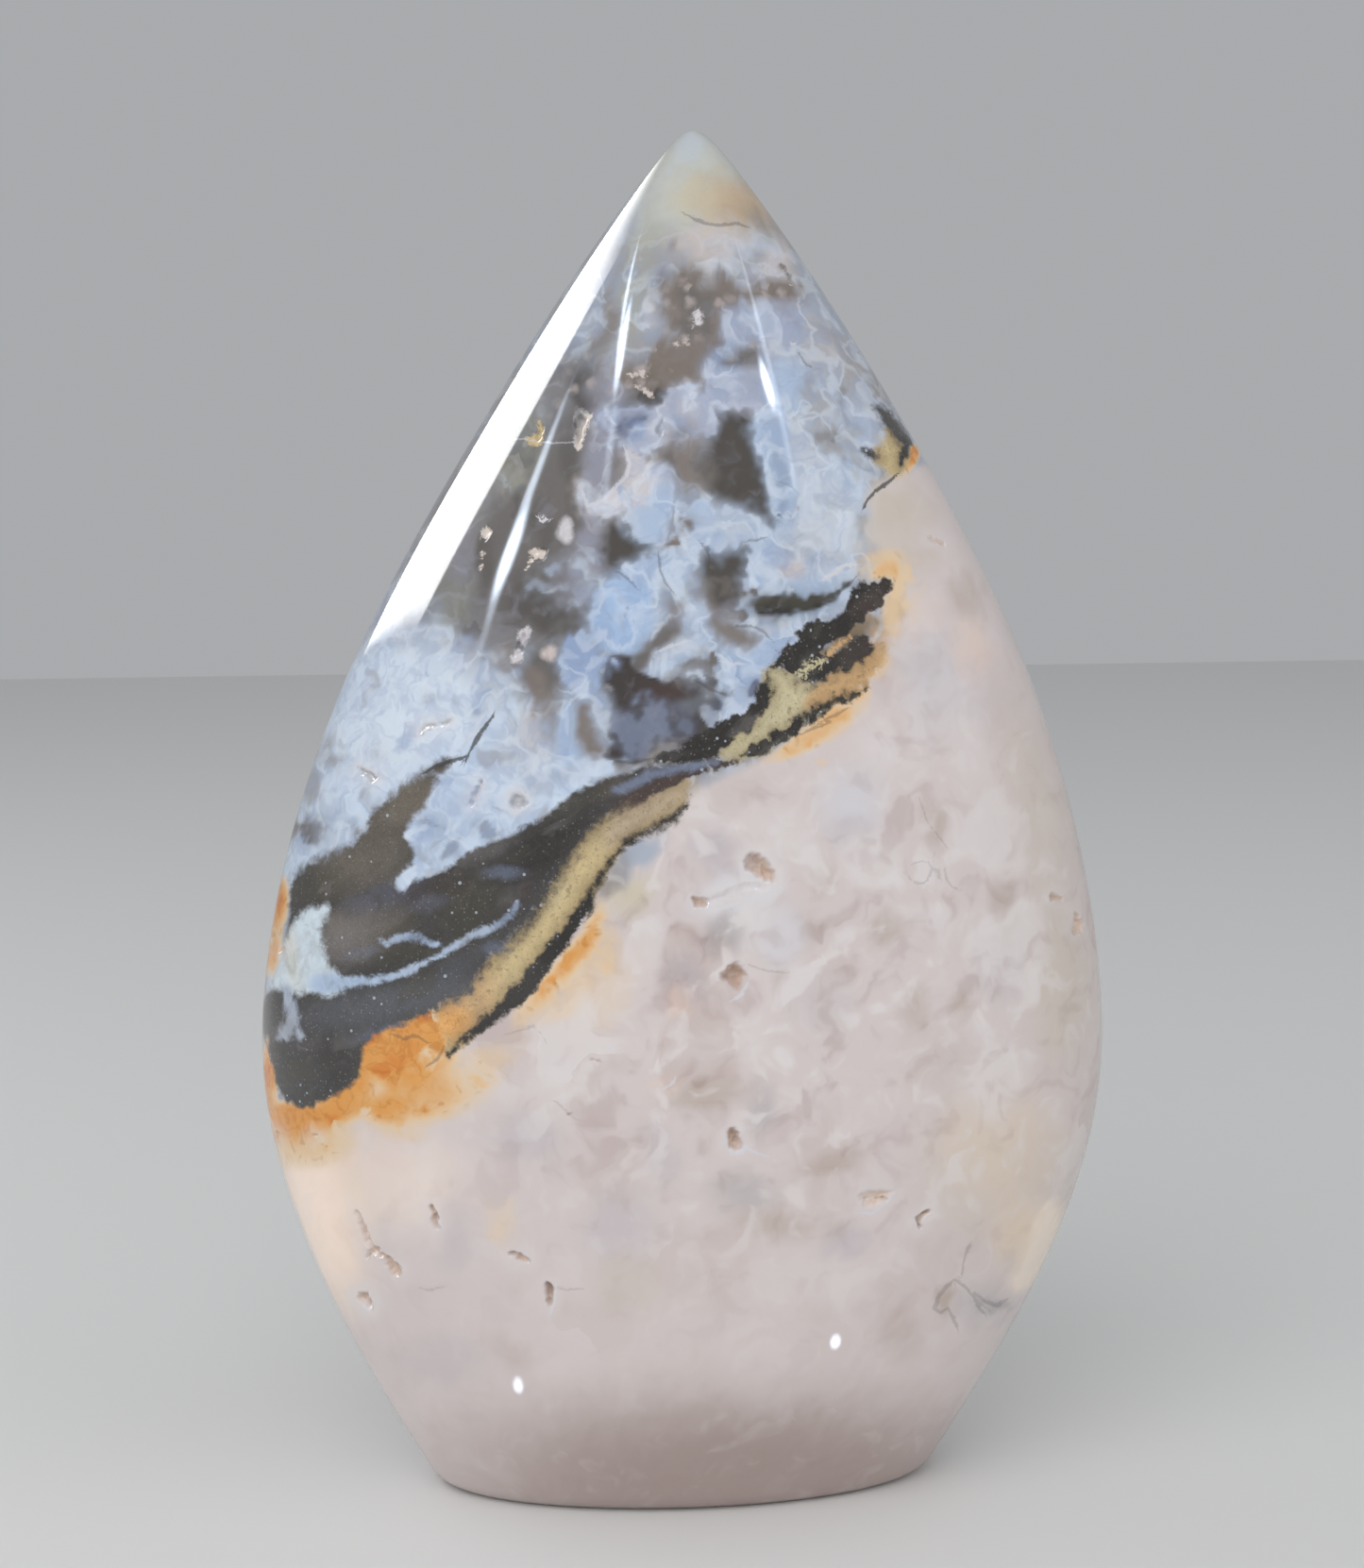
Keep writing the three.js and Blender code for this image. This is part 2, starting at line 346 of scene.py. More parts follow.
# Pits in the back, as x and z in millimetres, long and wide in pixels
backPits = [
    (-12, 52, 20, 12, 35, 1.8), (-7, 48, 11, 7, 110, 1.1), (22, 33, 16, 8, 80, 1.4), (30, 58, 10, 9, 0, 1.0),
    (-28, 74, 14, 7, 125, 1.2), (10, 108, 13, 9, 45, 1.0), (-6, 92, 10, 6, 150, 0.9),
]


pitForm = {
    "halo": 0.22,  # of a pit that gives none
    "haloReach": 16,  # pixels
    "reach": 22,  # how far from its outline a pit is looked for, in pixels
    "uneven": 2.2,  # how far the rim wanders, in pixels
    "crystalSize": 0.5,  # millimetres
}
# Each round splits the front's faces that lie further inside the plume zone than its first number, where
# one below zero reaches out of it, and those nearer to a pit than its second, in pixels. The last round
# takes only those round the pits.
refineRounds = [(-50, 20), (-14, 9), (1e9, 4)]


def addBackPits():
    for i, (x, z, long, wide, turn, depth) in enumerate(backPits):
        halfWidth, halfDepth, lean = sectionAt(z)
        y = halfDepth * math.sqrt(1 - ((x - lean) / halfWidth) ** 2)
        px, py = photoPixels(np.array([[x, float(y), z]]))[0]
        outline = ringOutline(px, py, long, wide, turn, seed=i)
        pits[f"back{i}"] = hole(depth, 4, outline=outline, back=True)


def facesToRefine(work, zoneReach, pitReach):
    # faces of the front in the plume zone, and all those near a pit or a healed crack
    centres = np.array([tuple(face.calc_center_median()) for face in work.faces])
    places = photoPixels(centres)
    front = centres[:, 1] < -1
    picked = front & (insideBy(places, zoneLine) > zoneReach) & (centres[:, 2] < agateFlame["fineHeight"])
    for shape in (*pits.values(), *({"path": path} for path in healedLines.values())):
        side = centres[:, 1] > 1 if shape.get("back") else front
        picked |= side & (shapeBy(places, shape) > -pitReach)
    work.faces.ensure_lookup_table()
    return [work.faces[i] for i in np.flatnonzero(picked)]


def refine(skin):
    work = bmesh.new()
    work.from_mesh(skin)
    for zoneReach, pitReach in refineRounds:
        edges = {edge for face in facesToRefine(work, zoneReach, pitReach) for edge in face.edges}
        bmesh.ops.subdivide_edges(work, edges=list(edges), cuts=1, use_grid_fill=True)
    bmesh.ops.triangulate(work, faces=[face for face in work.faces if len(face.verts) > 4])
    work.to_mesh(skin)
    work.free()


def readPoints(skin):
    points = np.empty(len(skin.vertices) * 3)
    skin.vertices.foreach_get("co", points)
    return points.reshape(-1, 3)


def readNormals(skin):
    normals = np.empty(len(skin.vertices) * 3)
    skin.vertex_normals.foreach_get("vector", normals)
    return normals.reshape(-1, 3)


def backOnSkin(points):
    # new points of the refined faces go back onto the smooth form
    side = (points[:, 2] > agateFlame["baseRounding"]) & (points[:, 2] < agateFlame["height"] - 1)
    halfWidth, halfDepth, lean = sectionAt(points[side, 2])
    x, y = points[side, 0] - lean, points[side, 1]
    grow = 1 / np.sqrt((x / halfWidth) ** 2 + (y / halfDepth) ** 2)
    points[side, 0], points[side, 1] = lean + x * grow, y * grow


def smoothNoise(points, size, seed):
    # Even noise from about -1 to 1. size is how wide its lumps are, each seed gives other lumps.
    seedShift = 7.31
    return np.array([noise.noise(Vector(p)) for p in points / size + seed * seedShift])


def smoothStep(value, low, high):
    t = np.clip((value - low) / (high - low), 0, 1)
    return t * t * (3 - 2 * t)


def sinkPits(skin):
    points = readPoints(skin)
    backOnSkin(points)
    skin.vertices.foreach_set("co", points.ravel())
    skin.update()
    normals, places = readNormals(skin), photoPixels(points)
    sunk, inPit, halo = (np.zeros(len(points)) for _ in range(3))
    for name, pit in pits.items():
        side = points[:, 1] > 1 if pit.get("back") else points[:, 1] < -1
        near = np.flatnonzero(side & (shapeBy(places, pit) > -pitForm["reach"]))
        inside = shapeBy(places[near], pit)
        pale = smoothStep(inside, -pitForm["haloReach"], -2) * pit.get("halo", pitForm["halo"])
        halo[near] = np.maximum(halo[near], pale)
        size = pitForm["crystalSize"]
        inside = inside + pitForm["uneven"] * smoothNoise(points[near], size, seed=len(name))
        share = smoothStep(inside, -0.5, pit["wall"])
        crystals = 0.85 + 0.3 * smoothNoise(points[near], size, seed=3)
        sunk[near] = np.maximum(sunk[near], pit["depth"] * share * crystals)
        if not pit.get("light"):
            # brown stone with painted shade, the brown fuller towards the pit's dark side
            acrossPit = np.array(pit.get("outline", pit.get("path")), float)[:, 0]
            left, right = acrossPit.min(), acrossPit.max()
            middle, half = (right + left) / 2, (right - left) / 2 + 2
            turned = (places[near, 0] - middle) / half * pit.get("dark", 1)
            brown = smoothStep(inside, -1, pit["wall"] * 0.6) * (0.5 + 0.5 * smoothStep(turned, -1, 0.7))
            inPit[near] = np.maximum(inPit[near], brown)
    points -= normals * sunk[:, None]
    skin.vertices.foreach_set("co", (points * mm).ravel())
    skin.update()
    return inPit, halo


# The agate's colours, as they look on screen
agateColours = {
    "chalcedony": (211, 200, 198),
    "lavender": (190, 182, 187),
    "milkWhite": (222, 216, 215),
    "coolWhite": (210, 211, 219),
    "beige": (201, 190, 178),
    "warmCream": (224, 204, 182),
    "pinkCream": (226, 203, 190),
    "oliveCream": (205, 195, 168),
    "clearBrown": (184, 168, 158),
    "clearGrey": (176, 170, 171),
    # colour of the painted shade at the foot
    "paintedFootShade": (164, 147, 141),
    "pinkGrey": (200, 188, 184),
    "mistGrey": (150, 148, 149),
    "blueMist": (166, 176, 192),
    "smokeGrey": (116, 112, 111),
    "smokeBrown": (93, 86, 78),
    "warmSmoke": (132, 124, 117),
    "plumeBlack": (48, 46, 43),
    "plumeGrey": (70, 68, 67),
    "maroon": (74, 62, 59),
    "skyBlue": (174, 192, 216),
    "clearSky": (164, 188, 220),
    "paleSky": (197, 206, 218),
    "shellWhite": (206, 202, 206),
    "slateBlue": (112, 120, 140),
    "mustard": (199, 179, 136),
    "goldGreen": (196, 186, 152),
    "goldBrown": (128, 108, 78),
    "sandGold": (196, 160, 116),
    "duskGold": (176, 158, 138),
    "amber": (220, 155, 78),
    "rust": (210, 124, 46),
    "tan": (184, 163, 138),
    "tipGreen": (188, 190, 183),
    "tipSky": (183, 190, 197),
    "oliveGrey": (164, 162, 148),
    "stainCream": (226, 198, 160),
    "pitBrown": (212, 188, 170),
    "darkSmoke": (78, 74, 71),
    "midSmoke": (110, 106, 104),
    "brownSmoke": (124, 114, 107),
    "oliveSmoke": (136, 134, 121),
    "lavenderSmoke": (145, 144, 155),
    "sheetBlue": (198, 212, 230),
    "deepSky": (146, 164, 196),
    "capLavender": (164, 171, 191),
    "gritBlue": (96, 104, 128),
    "creamPink": (210, 198, 192),
    "crystal": (222, 210, 200),
    "maroonSmoke": (66, 60, 59),
    "slateSmoke": (96, 98, 112),
    "armBrown": (106, 99, 90),
    "oliveBlack": (74, 71, 62),
    "coolGrey": (84, 86, 92),
    "milkBlue": (216, 225, 236),
    "greySky": (184, 188, 197),
    "veilWhite": (206, 218, 226),
    # colours of painted glow, light along the lower edges
    "paintedGlowCream": (252, 231, 215),
    "paintedGlowGold": (236, 221, 206),
    "vugGrey": (178, 180, 186),
}


def linear(colour):
    c = np.array(colour, float) / 255
    return np.where(c <= 0.04045, c / 12.92, ((c + 0.055) / 1.055) ** 2.4)


# The line between the dark plume zone above and the milky chalcedony below, left edge to right edge
zoneLine = [
    (150, 1130), (262, 1160), (300, 1177), (330, 1176), (370, 1158), (384, 1120), (398, 1092), (440, 1085),
    (480, 1085), (505, 1060), (530, 1035), (560, 1000), (600, 950), (640, 905), (690, 862), (740, 835),
    (790, 812), (850, 780), (895, 742), (930, 690), (945, 640), (938, 590), (905, 555), (905, 530),
    (930, 510), (960, 498), (1010, 480), (1150, 420), (1150, -100), (150, -100),
]

# Soft clouds of colour under the polish, some of them painted glow at the lower edges and painted shade at
# the foot: colour, x, y, long, wide, turn, strength
softClouds = [
    # the tip
    ("tipGreen", 735, 190, 75, 75, 0, 1.0), ("tipSky", 735, 150, 22, 18, 0, 0.8),
    ("tipSky", 700, 205, 16, 60, -35, 0.6), ("tan", 778, 214, 54, 34, -12, 0.95),
    ("oliveCream", 728, 208, 40, 30, 0, 0.45), ("warmSmoke", 806, 232, 24, 9, -40, 0.5),
    ("tipGreen", 690, 232, 18, 34, -20, 0.7), ("pinkGrey", 750, 258, 46, 26, 0, 0.75),
    ("clearGrey", 765, 262, 30, 10, 0, 0.4), ("pinkGrey", 824, 270, 16, 26, -30, 0.8),
    ("paleSky", 806, 260, 28, 15, -20, 0.6), ("pinkGrey", 818, 287, 24, 16, 0, 0.7),
    ("mistGrey", 800, 275, 14, 8, 0, 0.5), ("beige", 842, 300, 14, 20, -30, 0.5),
    ("oliveGrey", 676, 300, 17, 78, -10, 0.8), ("warmSmoke", 642, 345, 13, 52, -12, 0.8),
    ("blueMist", 618, 372, 9, 55, -18, 0.6), ("mistGrey", 700, 300, 24, 40, -10, 0.5),
    ("shellWhite", 692, 334, 14, 17, 0, 0.7), ("brownSmoke", 735, 350, 40, 60, 0, 0.7),
    ("capLavender", 810, 345, 46, 40, 0, 0.9), ("pinkGrey", 870, 400, 40, 90, 30, 0.6),
    ("blueMist", 842, 360, 34, 50, 30, 0.5), ("blueMist", 900, 440, 34, 60, 35, 0.6),
    ("paleSky", 876, 520, 46, 60, 0, 0.8), ("mistGrey", 684, 300, 5, 5, 0, 0.4),
    ("warmSmoke", 716, 262, 5, 9, 30, 0.6), ("smokeGrey", 761, 287, 6, 5, 0, 0.7),
    ("warmSmoke", 778, 290, 5, 8, 0, 0.4),
    # the smoky left
    ("midSmoke", 560, 560, 100, 190, -25, 1.0), ("midSmoke", 650, 560, 80, 160, 0, 0.8),
    ("oliveSmoke", 545, 478, 26, 50, -30, 0.8), ("oliveGrey", 546, 508, 20, 14, 0, 0.5),
    ("oliveSmoke", 480, 640, 20, 40, -20, 0.6), ("mistGrey", 505, 540, 20, 60, -28, 0.35),
    ("darkSmoke", 617, 418, 18, 46, 5, 0.8), ("darkSmoke", 606, 505, 12, 60, 8, 0.45),
    ("lavenderSmoke", 490, 590, 16, 34, 0, 0.5), ("darkSmoke", 572, 560, 14, 30, 0, 0.4),
    ("darkSmoke", 514, 600, 10, 40, 0, 0.45), ("darkSmoke", 575, 640, 50, 34, 0, 0.75),
    ("darkSmoke", 606, 655, 34, 24, 0, 0.6), ("darkSmoke", 575, 712, 34, 34, 0, 0.7),
    ("brownSmoke", 540, 700, 24, 18, 0, 0.6), ("lavenderSmoke", 645, 410, 16, 34, 0, 0.8),
    ("lavenderSmoke", 626, 585, 18, 50, 0, 0.9), ("lavenderSmoke", 632, 470, 14, 60, 5, 0.6),
    ("blueMist", 560, 690, 12, 18, 0, 0.3), ("brownSmoke", 715, 500, 40, 40, 0, 0.9),
    ("pinkGrey", 700, 515, 22, 24, 0, 0.4), ("brownSmoke", 712, 650, 20, 34, 0, 0.6),
    ("midSmoke", 775, 675, 40, 20, 0, 0.7),
    # the right shoulder of the plume zone
    ("paleSky", 905, 555, 34, 26, 0, 0.6), ("beige", 945, 538, 46, 30, 0, 0.8),
    ("beige", 960, 590, 30, 40, 0, 0.5), ("clearBrown", 1023, 632, 22, 26, 10, 0.6),
    ("pinkCream", 1028, 690, 22, 34, 15, 0.7), ("lavender", 1050, 740, 30, 50, 20, 0.3),
    ("pinkCream", 975, 655, 24, 24, 0, 0.4), ("clearGrey", 980, 700, 40, 30, 0, 0.25),
    # the milky body, upper right
    ("milkWhite", 950, 790, 50, 34, 20, 0.55), ("coolWhite", 900, 850, 36, 40, 0, 0.6),
    ("clearBrown", 990, 872, 12, 30, 25, 0.7), ("lavender", 900, 882, 22, 18, 0, 0.5),
    ("milkWhite", 1030, 800, 30, 44, 0, 0.3), ("clearBrown", 1064, 958, 12, 42, -5, 0.6),
    ("milkWhite", 985, 976, 34, 20, 0, 0.6), ("clearBrown", 940, 984, 18, 18, -30, 0.75),
    ("clearBrown", 930, 925, 20, 12, 0, 0.4), ("clearBrown", 968, 1070, 16, 28, -15, 0.6),
    ("clearBrown", 1020, 1066, 14, 14, 0, 0.6), ("beige", 1110, 900, 34, 110, 5, 0.5),
    ("beige", 1125, 1050, 40, 90, 0, 0.7), ("lavender", 1060, 1030, 30, 40, 0, 0.35),
    ("beige", 1080, 800, 30, 90, 12, 0.4),
    # round the great cavity
    ("lavender", 758, 900, 28, 26, 0, 0.75), ("coolWhite", 780, 948, 50, 30, 15, 0.75),
    ("clearGrey", 766, 990, 26, 22, 30, 0.8), ("coolWhite", 826, 990, 34, 36, 0, 0.6),
    ("lavender", 725, 1035, 24, 30, 20, 0.75), ("pinkCream", 722, 1062, 14, 20, -10, 0.6),
    ("clearBrown", 873, 932, 14, 14, 0, 0.65), ("clearBrown", 861, 986, 8, 22, 10, 0.55),
    ("milkWhite", 820, 880, 44, 24, 0, 0.4), ("clearBrown", 829, 1036, 10, 9, 0, 0.4),
    ("lavender", 870, 1060, 40, 40, 0, 0.3), ("milkWhite", 790, 1090, 40, 24, 0, 0.35),
    ("warmCream", 634, 1050, 34, 60, -30, 0.6), ("oliveCream", 668, 948, 28, 22, 30, 0.7),
    ("blueMist", 676, 903, 30, 16, 35, 0.9), ("mistGrey", 652, 922, 16, 30, -35, 0.75),
    ("warmSmoke", 640, 944, 10, 22, -30, 0.6), ("duskGold", 706, 850, 40, 18, 30, 0.7),
    ("pinkGrey", 770, 838, 50, 22, 20, 0.5), ("milkWhite", 690, 1000, 30, 24, 0, 0.35),
    # the middle and the foot
    ("milkWhite", 750, 1112, 60, 22, 0, 0.6), ("clearBrown", 748, 1160, 46, 20, 8, 0.75),
    ("pinkCream", 704, 1148, 16, 12, 0, 0.5), ("clearGrey", 805, 1175, 18, 30, 0, 0.6),
    ("clearBrown", 888, 1234, 34, 14, 12, 0.65), ("clearGrey", 790, 1262, 44, 22, -10, 0.6),
    ("clearBrown", 820, 1296, 44, 18, -10, 0.65), ("lavender", 895, 1312, 26, 20, 0, 0.6),
    ("clearBrown", 880, 1300, 12, 12, 0, 0.4), ("lavender", 560, 1205, 46, 26, -10, 0.55),
    ("lavender", 702, 1225, 22, 40, 20, 0.5), ("lavender", 655, 1300, 40, 44, -20, 0.55),
    ("lavender", 480, 1300, 22, 50, 0, 0.5), ("warmCream", 532, 1292, 13, 34, -20, 0.5),
    ("beige", 664, 1358, 44, 38, 0, 0.5), ("milkWhite", 600, 1150, 40, 24, -20, 0.5),
    # the warm cream clouds at x 345 and the two glow clouds paint glow, lighter along the lower left edge
    ("milkWhite", 440, 1250, 24, 40, 0, 0.4), ("warmCream", 345, 1250, 44, 70, 20, 0.7),
    ("pinkCream", 366, 1228, 13, 10, 0, 0.8), ("warmCream", 345, 1350, 34, 50, 25, 0.5),
    ("paintedGlowCream", 330, 1290, 48, 110, 22, 0.95), ("paintedGlowCream", 420, 1250, 80, 60, 0, 0.4),
    ("beige", 1060, 1250, 90, 90, 0, 0.45), ("milkWhite", 855, 1360, 70, 26, 0, 0.3),
    # the warm cream cloud at x 1090 paints glow along the lower right edge
    ("clearBrown", 1000, 1130, 40, 40, 0, 0.3), ("warmCream", 1090, 1315, 36, 50, 20, 0.8),
    # the wide mauve cloud at the bottom is painted shade, darker towards the base
    ("clearBrown", 955, 1412, 22, 30, 0, 0.45), ("paintedFootShade", 780, 1570, 330, 100, 0, 0.95),
    ("clearBrown", 540, 1435, 28, 16, -30, 0.4), ("lavender", 470, 1440, 50, 30, 0, 0.4),
    ("clearGrey", 1040, 1384, 38, 28, 0, 0.4), ("clearBrown", 999, 1376, 11, 18, -25, 0.8),
    ("clearGrey", 1050, 1384, 20, 9, -8, 0.9), ("warmCream", 525, 1300, 13, 34, 35, 0.45),
    ("coolWhite", 990, 720, 40, 60, 0, 0.35), ("warmCream", 1060, 1215, 70, 70, 0, 0.45),
]

# Smoke and light chalcedony of the plume zone, painted in this order, each over the ones before
plumeZoneClouds = {
    "curveSmoke": patch("darkSmoke", [(750, 440), (765, 432), (790, 434), (815, 440), (815, 470), (830, 500),
        (835, 560), (822, 575), (806, 560), (798, 546), (784, 537), (766, 529), (750, 517), (744, 500),
        (750, 484), (752, 466)], 11),
    "wingSmoke": patch("darkSmoke", [(744, 584), (756, 580), (775, 584), (800, 568), (805, 600), (796, 625),
        (788, 645), (770, 662), (754, 655), (746, 640), (742, 612)], 9),
    "mottle": patch("brownSmoke", [(706, 302), (718, 288), (735, 294), (752, 300), (770, 296), (785, 305),
        (788, 318), (772, 328), (766, 345), (750, 352), (735, 347), (718, 352), (706, 340),
        (700, 322)], 6, feather=9),
    "mottleDark": patch("midSmoke", [(722, 318), (740, 310), (760, 318), (764, 332), (752, 342), (756, 360),
        (768, 366), (756, 380), (738, 372), (722, 356), (712, 344), (728, 332)], 5, feather=9),
    "lilacSheet": patch("capLavender", [(766, 336), (784, 324), (810, 320), (846, 322), (852, 345),
        (845, 362), (812, 362), (790, 358), (764, 356)], 5),
    "tipBar": patch("brownSmoke", [(788, 303), (812, 298), (848, 299), (858, 310), (832, 316), (800, 318),
        (784, 314)]),
    "mottleLow": patch("brownSmoke", [(668, 396), (688, 384), (704, 362), (730, 352), (752, 358), (760, 372),
        (748, 388), (754, 402), (746, 414), (734, 416), (714, 408), (702, 420), (676, 416),
        (662, 406)], 5, feather=9),
    "mottleCore": patch("darkSmoke", [(674, 416), (690, 408), (703, 417), (711, 426), (700, 432),
        (682, 431)], feather=4),
    "blueDrift": patch("deepSky", [(746, 392), (754, 376), (770, 365), (796, 360), (792, 370), (776, 378),
        (764, 392)], 5, strength=0.7),
    "tipEye": patch("smokeGrey", [(762, 385), (777, 376), (790, 366), (803, 372), (806, 390), (790, 393),
        (776, 389)], 3.5),
    "rightSheet": patch("skyBlue", [(800, 400), (830, 384), (862, 384), (900, 424), (926, 444), (916, 500),
        (912, 540), (905, 575), (900, 600), (908, 613), (898, 640), (880, 652), (862, 662), (850, 662),
        (840, 680), (826, 692), (812, 702), (806, 722), (800, 747), (785, 760), (770, 766), (757, 752),
        (750, 738), (757, 722), (748, 704), (757, 690), (766, 682), (788, 688), (804, 678), (800, 664),
        (776, 650), (787, 636), (793, 618), (791, 600), (796, 576), (815, 566), (826, 560), (819, 540),
        (816, 520), (812, 500), (806, 477), (796, 460), (797, 446), (806, 438)], feather=4, rim=0.3),
    "rightMilk": patch("paleSky", [(832, 445), (862, 480), (900, 500), (908, 560), (896, 590), (862, 600),
        (836, 612), (806, 616), (812, 584), (842, 572), (850, 540), (842, 500)], 16),
    "highBlock": patch("capLavender", [(743, 396), (756, 388), (772, 391), (800, 392), (818, 400),
        (818, 432), (798, 436), (775, 431), (758, 433), (748, 418)], rim=0.25),
    "streakSheet": patch("skyBlue", [(802, 442), (818, 438), (832, 470), (842, 508), (848, 545), (835, 562),
        (824, 545), (818, 500), (806, 470)], 5),
    "shoulderSmoke": patch("mistGrey", [(850, 410), (870, 410), (884, 428), (890, 454), (895, 478),
        (882, 484), (868, 474), (854, 464), (847, 438)], 5, feather=7, strength=0.85),
    "shoulderSpot": stroke("smokeBrown", [(868, 462, 3), (876, 464, 4)], 3, feather=5),
    "shoulderSpotHigh": stroke("smokeGrey", [(891, 414, 3), (890, 424, 3)], 3, feather=4),
    "sideShade": stroke("mistGrey", [(904, 452, 6), (900, 466, 5), (910, 500, 4)], 6, strength=0.7),
    "capTail": patch("lavenderSmoke", [(627, 440), (640, 432), (652, 442), (650, 470), (645, 500),
        (640, 520), (628, 535), (616, 520), (624, 500), (625, 470)], 7),
    "cap": patch("capLavender", [(636, 438), (648, 432), (672, 431), (700, 432), (708, 422), (722, 409),
        (738, 414), (752, 424), (758, 440), (755, 455), (745, 462), (730, 462), (716, 466), (700, 470),
        (690, 476), (676, 482), (664, 476), (655, 470), (645, 460), (638, 450)], 3.5, feather=6, rim=0.2),
    "capLight": stroke("shellWhite", [(728, 432, 8), (738, 444, 8)], 10, strength=0.35),
    "capEye": stroke("gritBlue", [(660, 456, 5), (672, 448, 6), (684, 444, 3)], 4, feather=4),
    "capEyeLight": stroke("deepSky", [(677, 451, 4), (681, 455, 3)], 3),
    "smokeColumn": patch("darkSmoke", [(643, 544), (664, 544), (680, 560), (694, 580), (686, 600),
        (664, 606), (650, 608), (643, 598)], 3),
    "shellBlue": patch("skyBlue", [(662, 538), (680, 520), (690, 505), (705, 500), (717, 510), (716, 530),
        (712, 548), (706, 562), (708, 573), (696, 582), (684, 578), (672, 566),
        (664, 554)], feather=4, rim=0.3),
    "shell": patch("shellWhite", [(616, 537), (618, 528), (630, 534), (642, 524), (655, 514), (664, 505),
        (668, 492), (664, 478), (674, 484), (688, 490), (700, 494), (712, 502), (700, 512), (690, 518),
        (682, 530), (668, 540), (650, 546), (635, 548), (622, 545)]),
    "shellPetal": patch("creamPink", [(611, 516), (617, 509), (622, 520), (618, 532), (612, 528)], 2),
    "lobedSheet": patch("skyBlue", [(712, 548), (722, 534), (740, 528), (760, 540), (775, 538), (800, 548),
        (817, 562), (812, 570), (795, 573), (783, 579), (765, 587), (750, 582), (742, 586), (738, 602),
        (738, 622), (732, 634), (720, 634), (708, 624), (700, 611), (697, 597), (703, 585), (716, 578),
        (722, 568), (714, 560)], feather=4, rim=0.35),
    "lobedMilk": patch("paleSky", [(735, 548), (765, 548), (795, 556), (790, 566), (765, 576), (745, 574),
        (726, 588), (726, 612), (712, 612), (708, 596), (720, 582), (730, 566)], 8, strength=0.4),
    "browSpot": stroke("brownSmoke", [(722, 550, 3), (728, 556, 4)], 3),
    "browMark": stroke("brownSmoke", [(717, 567, 2.5), (716, 575, 2), (706, 578, 2)], 2),
    "hornSheet": patch("skyBlue", [(656, 611), (664, 601), (680, 595), (696, 586), (702, 596), (698, 612),
        (702, 632), (694, 642), (684, 630), (670, 622)], rim=0.25),
    "blob": patch("clearSky", [(626, 640), (631, 624), (642, 614), (655, 613), (668, 616), (682, 622),
        (693, 636), (701, 653), (696, 673), (684, 688), (668, 695), (650, 692), (636, 684), (628, 670),
        (624, 655)], feather=2),
    "blobShoulder": patch("paleSky", [(688, 640), (700, 640), (708, 660), (700, 680), (686, 690),
        (690, 665)], 7, strength=0.7),
    "veil": patch("skyBlue", [(718, 668), (723, 650), (732, 638), (741, 644), (750, 654), (758, 668),
        (752, 676), (738, 670), (726, 674)], 5, feather=6),
    "fringe": patch("skyBlue", [(672, 712), (684, 706), (694, 696), (700, 684), (712, 675), (730, 667),
        (745, 668), (758, 674), (766, 684), (760, 695), (748, 700), (735, 702), (722, 708), (714, 717),
        (700, 723), (688, 722), (680, 718)], feather=9, rim=0.3),
    "fringeMilk": stroke("paleSky", [(700, 697, 5), (715, 687, 7), (735, 682, 8), (750, 686, 4)], 5),
    "browDrift": patch("brownSmoke", [(752, 644), (766, 656), (784, 668), (800, 674), (790, 684), (770, 682),
        (754, 672), (748, 656)], 7, strength=0.9),
    "browWedge": stroke("midSmoke", [(712, 664, 5), (698, 678, 6), (684, 696, 7), (676, 704, 4)], 5),
    "smallCell": patch("blueMist", [(796, 654), (806, 650), (826, 652), (834, 660), (826, 670), (812, 668),
        (800, 664)], 3, rim=0.3),
    "leaf": stroke("oliveBlack", [(801, 641, 4), (812, 641, 8), (830, 640, 10), (850, 641, 8.5),
        (868, 637, 6.5), (884, 628, 4.5), (897, 619, 2.6), (907, 611, 0.8)], 3),
    "leafUnder": stroke("plumeBlack", [(808, 648, 3), (835, 648, 4), (860, 645, 3), (880, 636, 1)], 3),
    "leafStem": stroke("midSmoke", [(774, 634, 1.5), (786, 630, 3.5), (800, 629, 2)], 2, feather=4),
    "leafStemLow": stroke("midSmoke", [(774, 652, 3), (788, 650, 3)], feather=4),
    "grit": stroke("gritBlue", [(826, 540, 2), (836, 547, 2), (846, 541, 3)], 2, feather=9),
    "mottledSpot": stroke("pinkGrey", [(834, 603, 6), (842, 600, 6)], 6, feather=6, strength=0.9),
    "mottledLine": stroke("mistGrey", [(826, 586, 1), (846, 582, 3), (866, 588, 1)], 3, feather=6),
    "shoulderTan": stroke("warmSmoke", [(911, 552, 4), (912, 562, 3)], 4, feather=4, strength=0.6),
    "maroonField": patch("maroonSmoke", [(636, 702), (652, 694), (672, 704), (690, 722), (706, 720),
        (724, 712), (742, 716), (756, 722), (750, 736), (757, 746), (748, 752), (756, 768), (744, 784),
        (722, 794), (700, 801), (655, 812), (636, 806), (644, 762), (640, 730)], 4, feather=6),
    "maroonHeart": stroke("maroon", [(686, 733, 8), (704, 734, 11), (722, 732, 6)], 6),
    "curl": stroke("smokeGrey", [(722, 717, 3), (726, 707, 4), (738, 703, 5), (750, 707, 4), (755, 718, 3)]),
    "curlLight": stroke("blueMist", [(728, 714, 2), (738, 713, 2.5), (749, 723, 2)], 2),
    "slate": patch("slateBlue", [(646, 757), (662, 749), (690, 747), (704, 748), (709, 760), (704, 780),
        (690, 796), (668, 799), (650, 792)], 5, feather=9),
    "slateSide": stroke("slateBlue", [(722, 752, 6), (728, 768, 5)], 4, feather=7, strength=0.6),
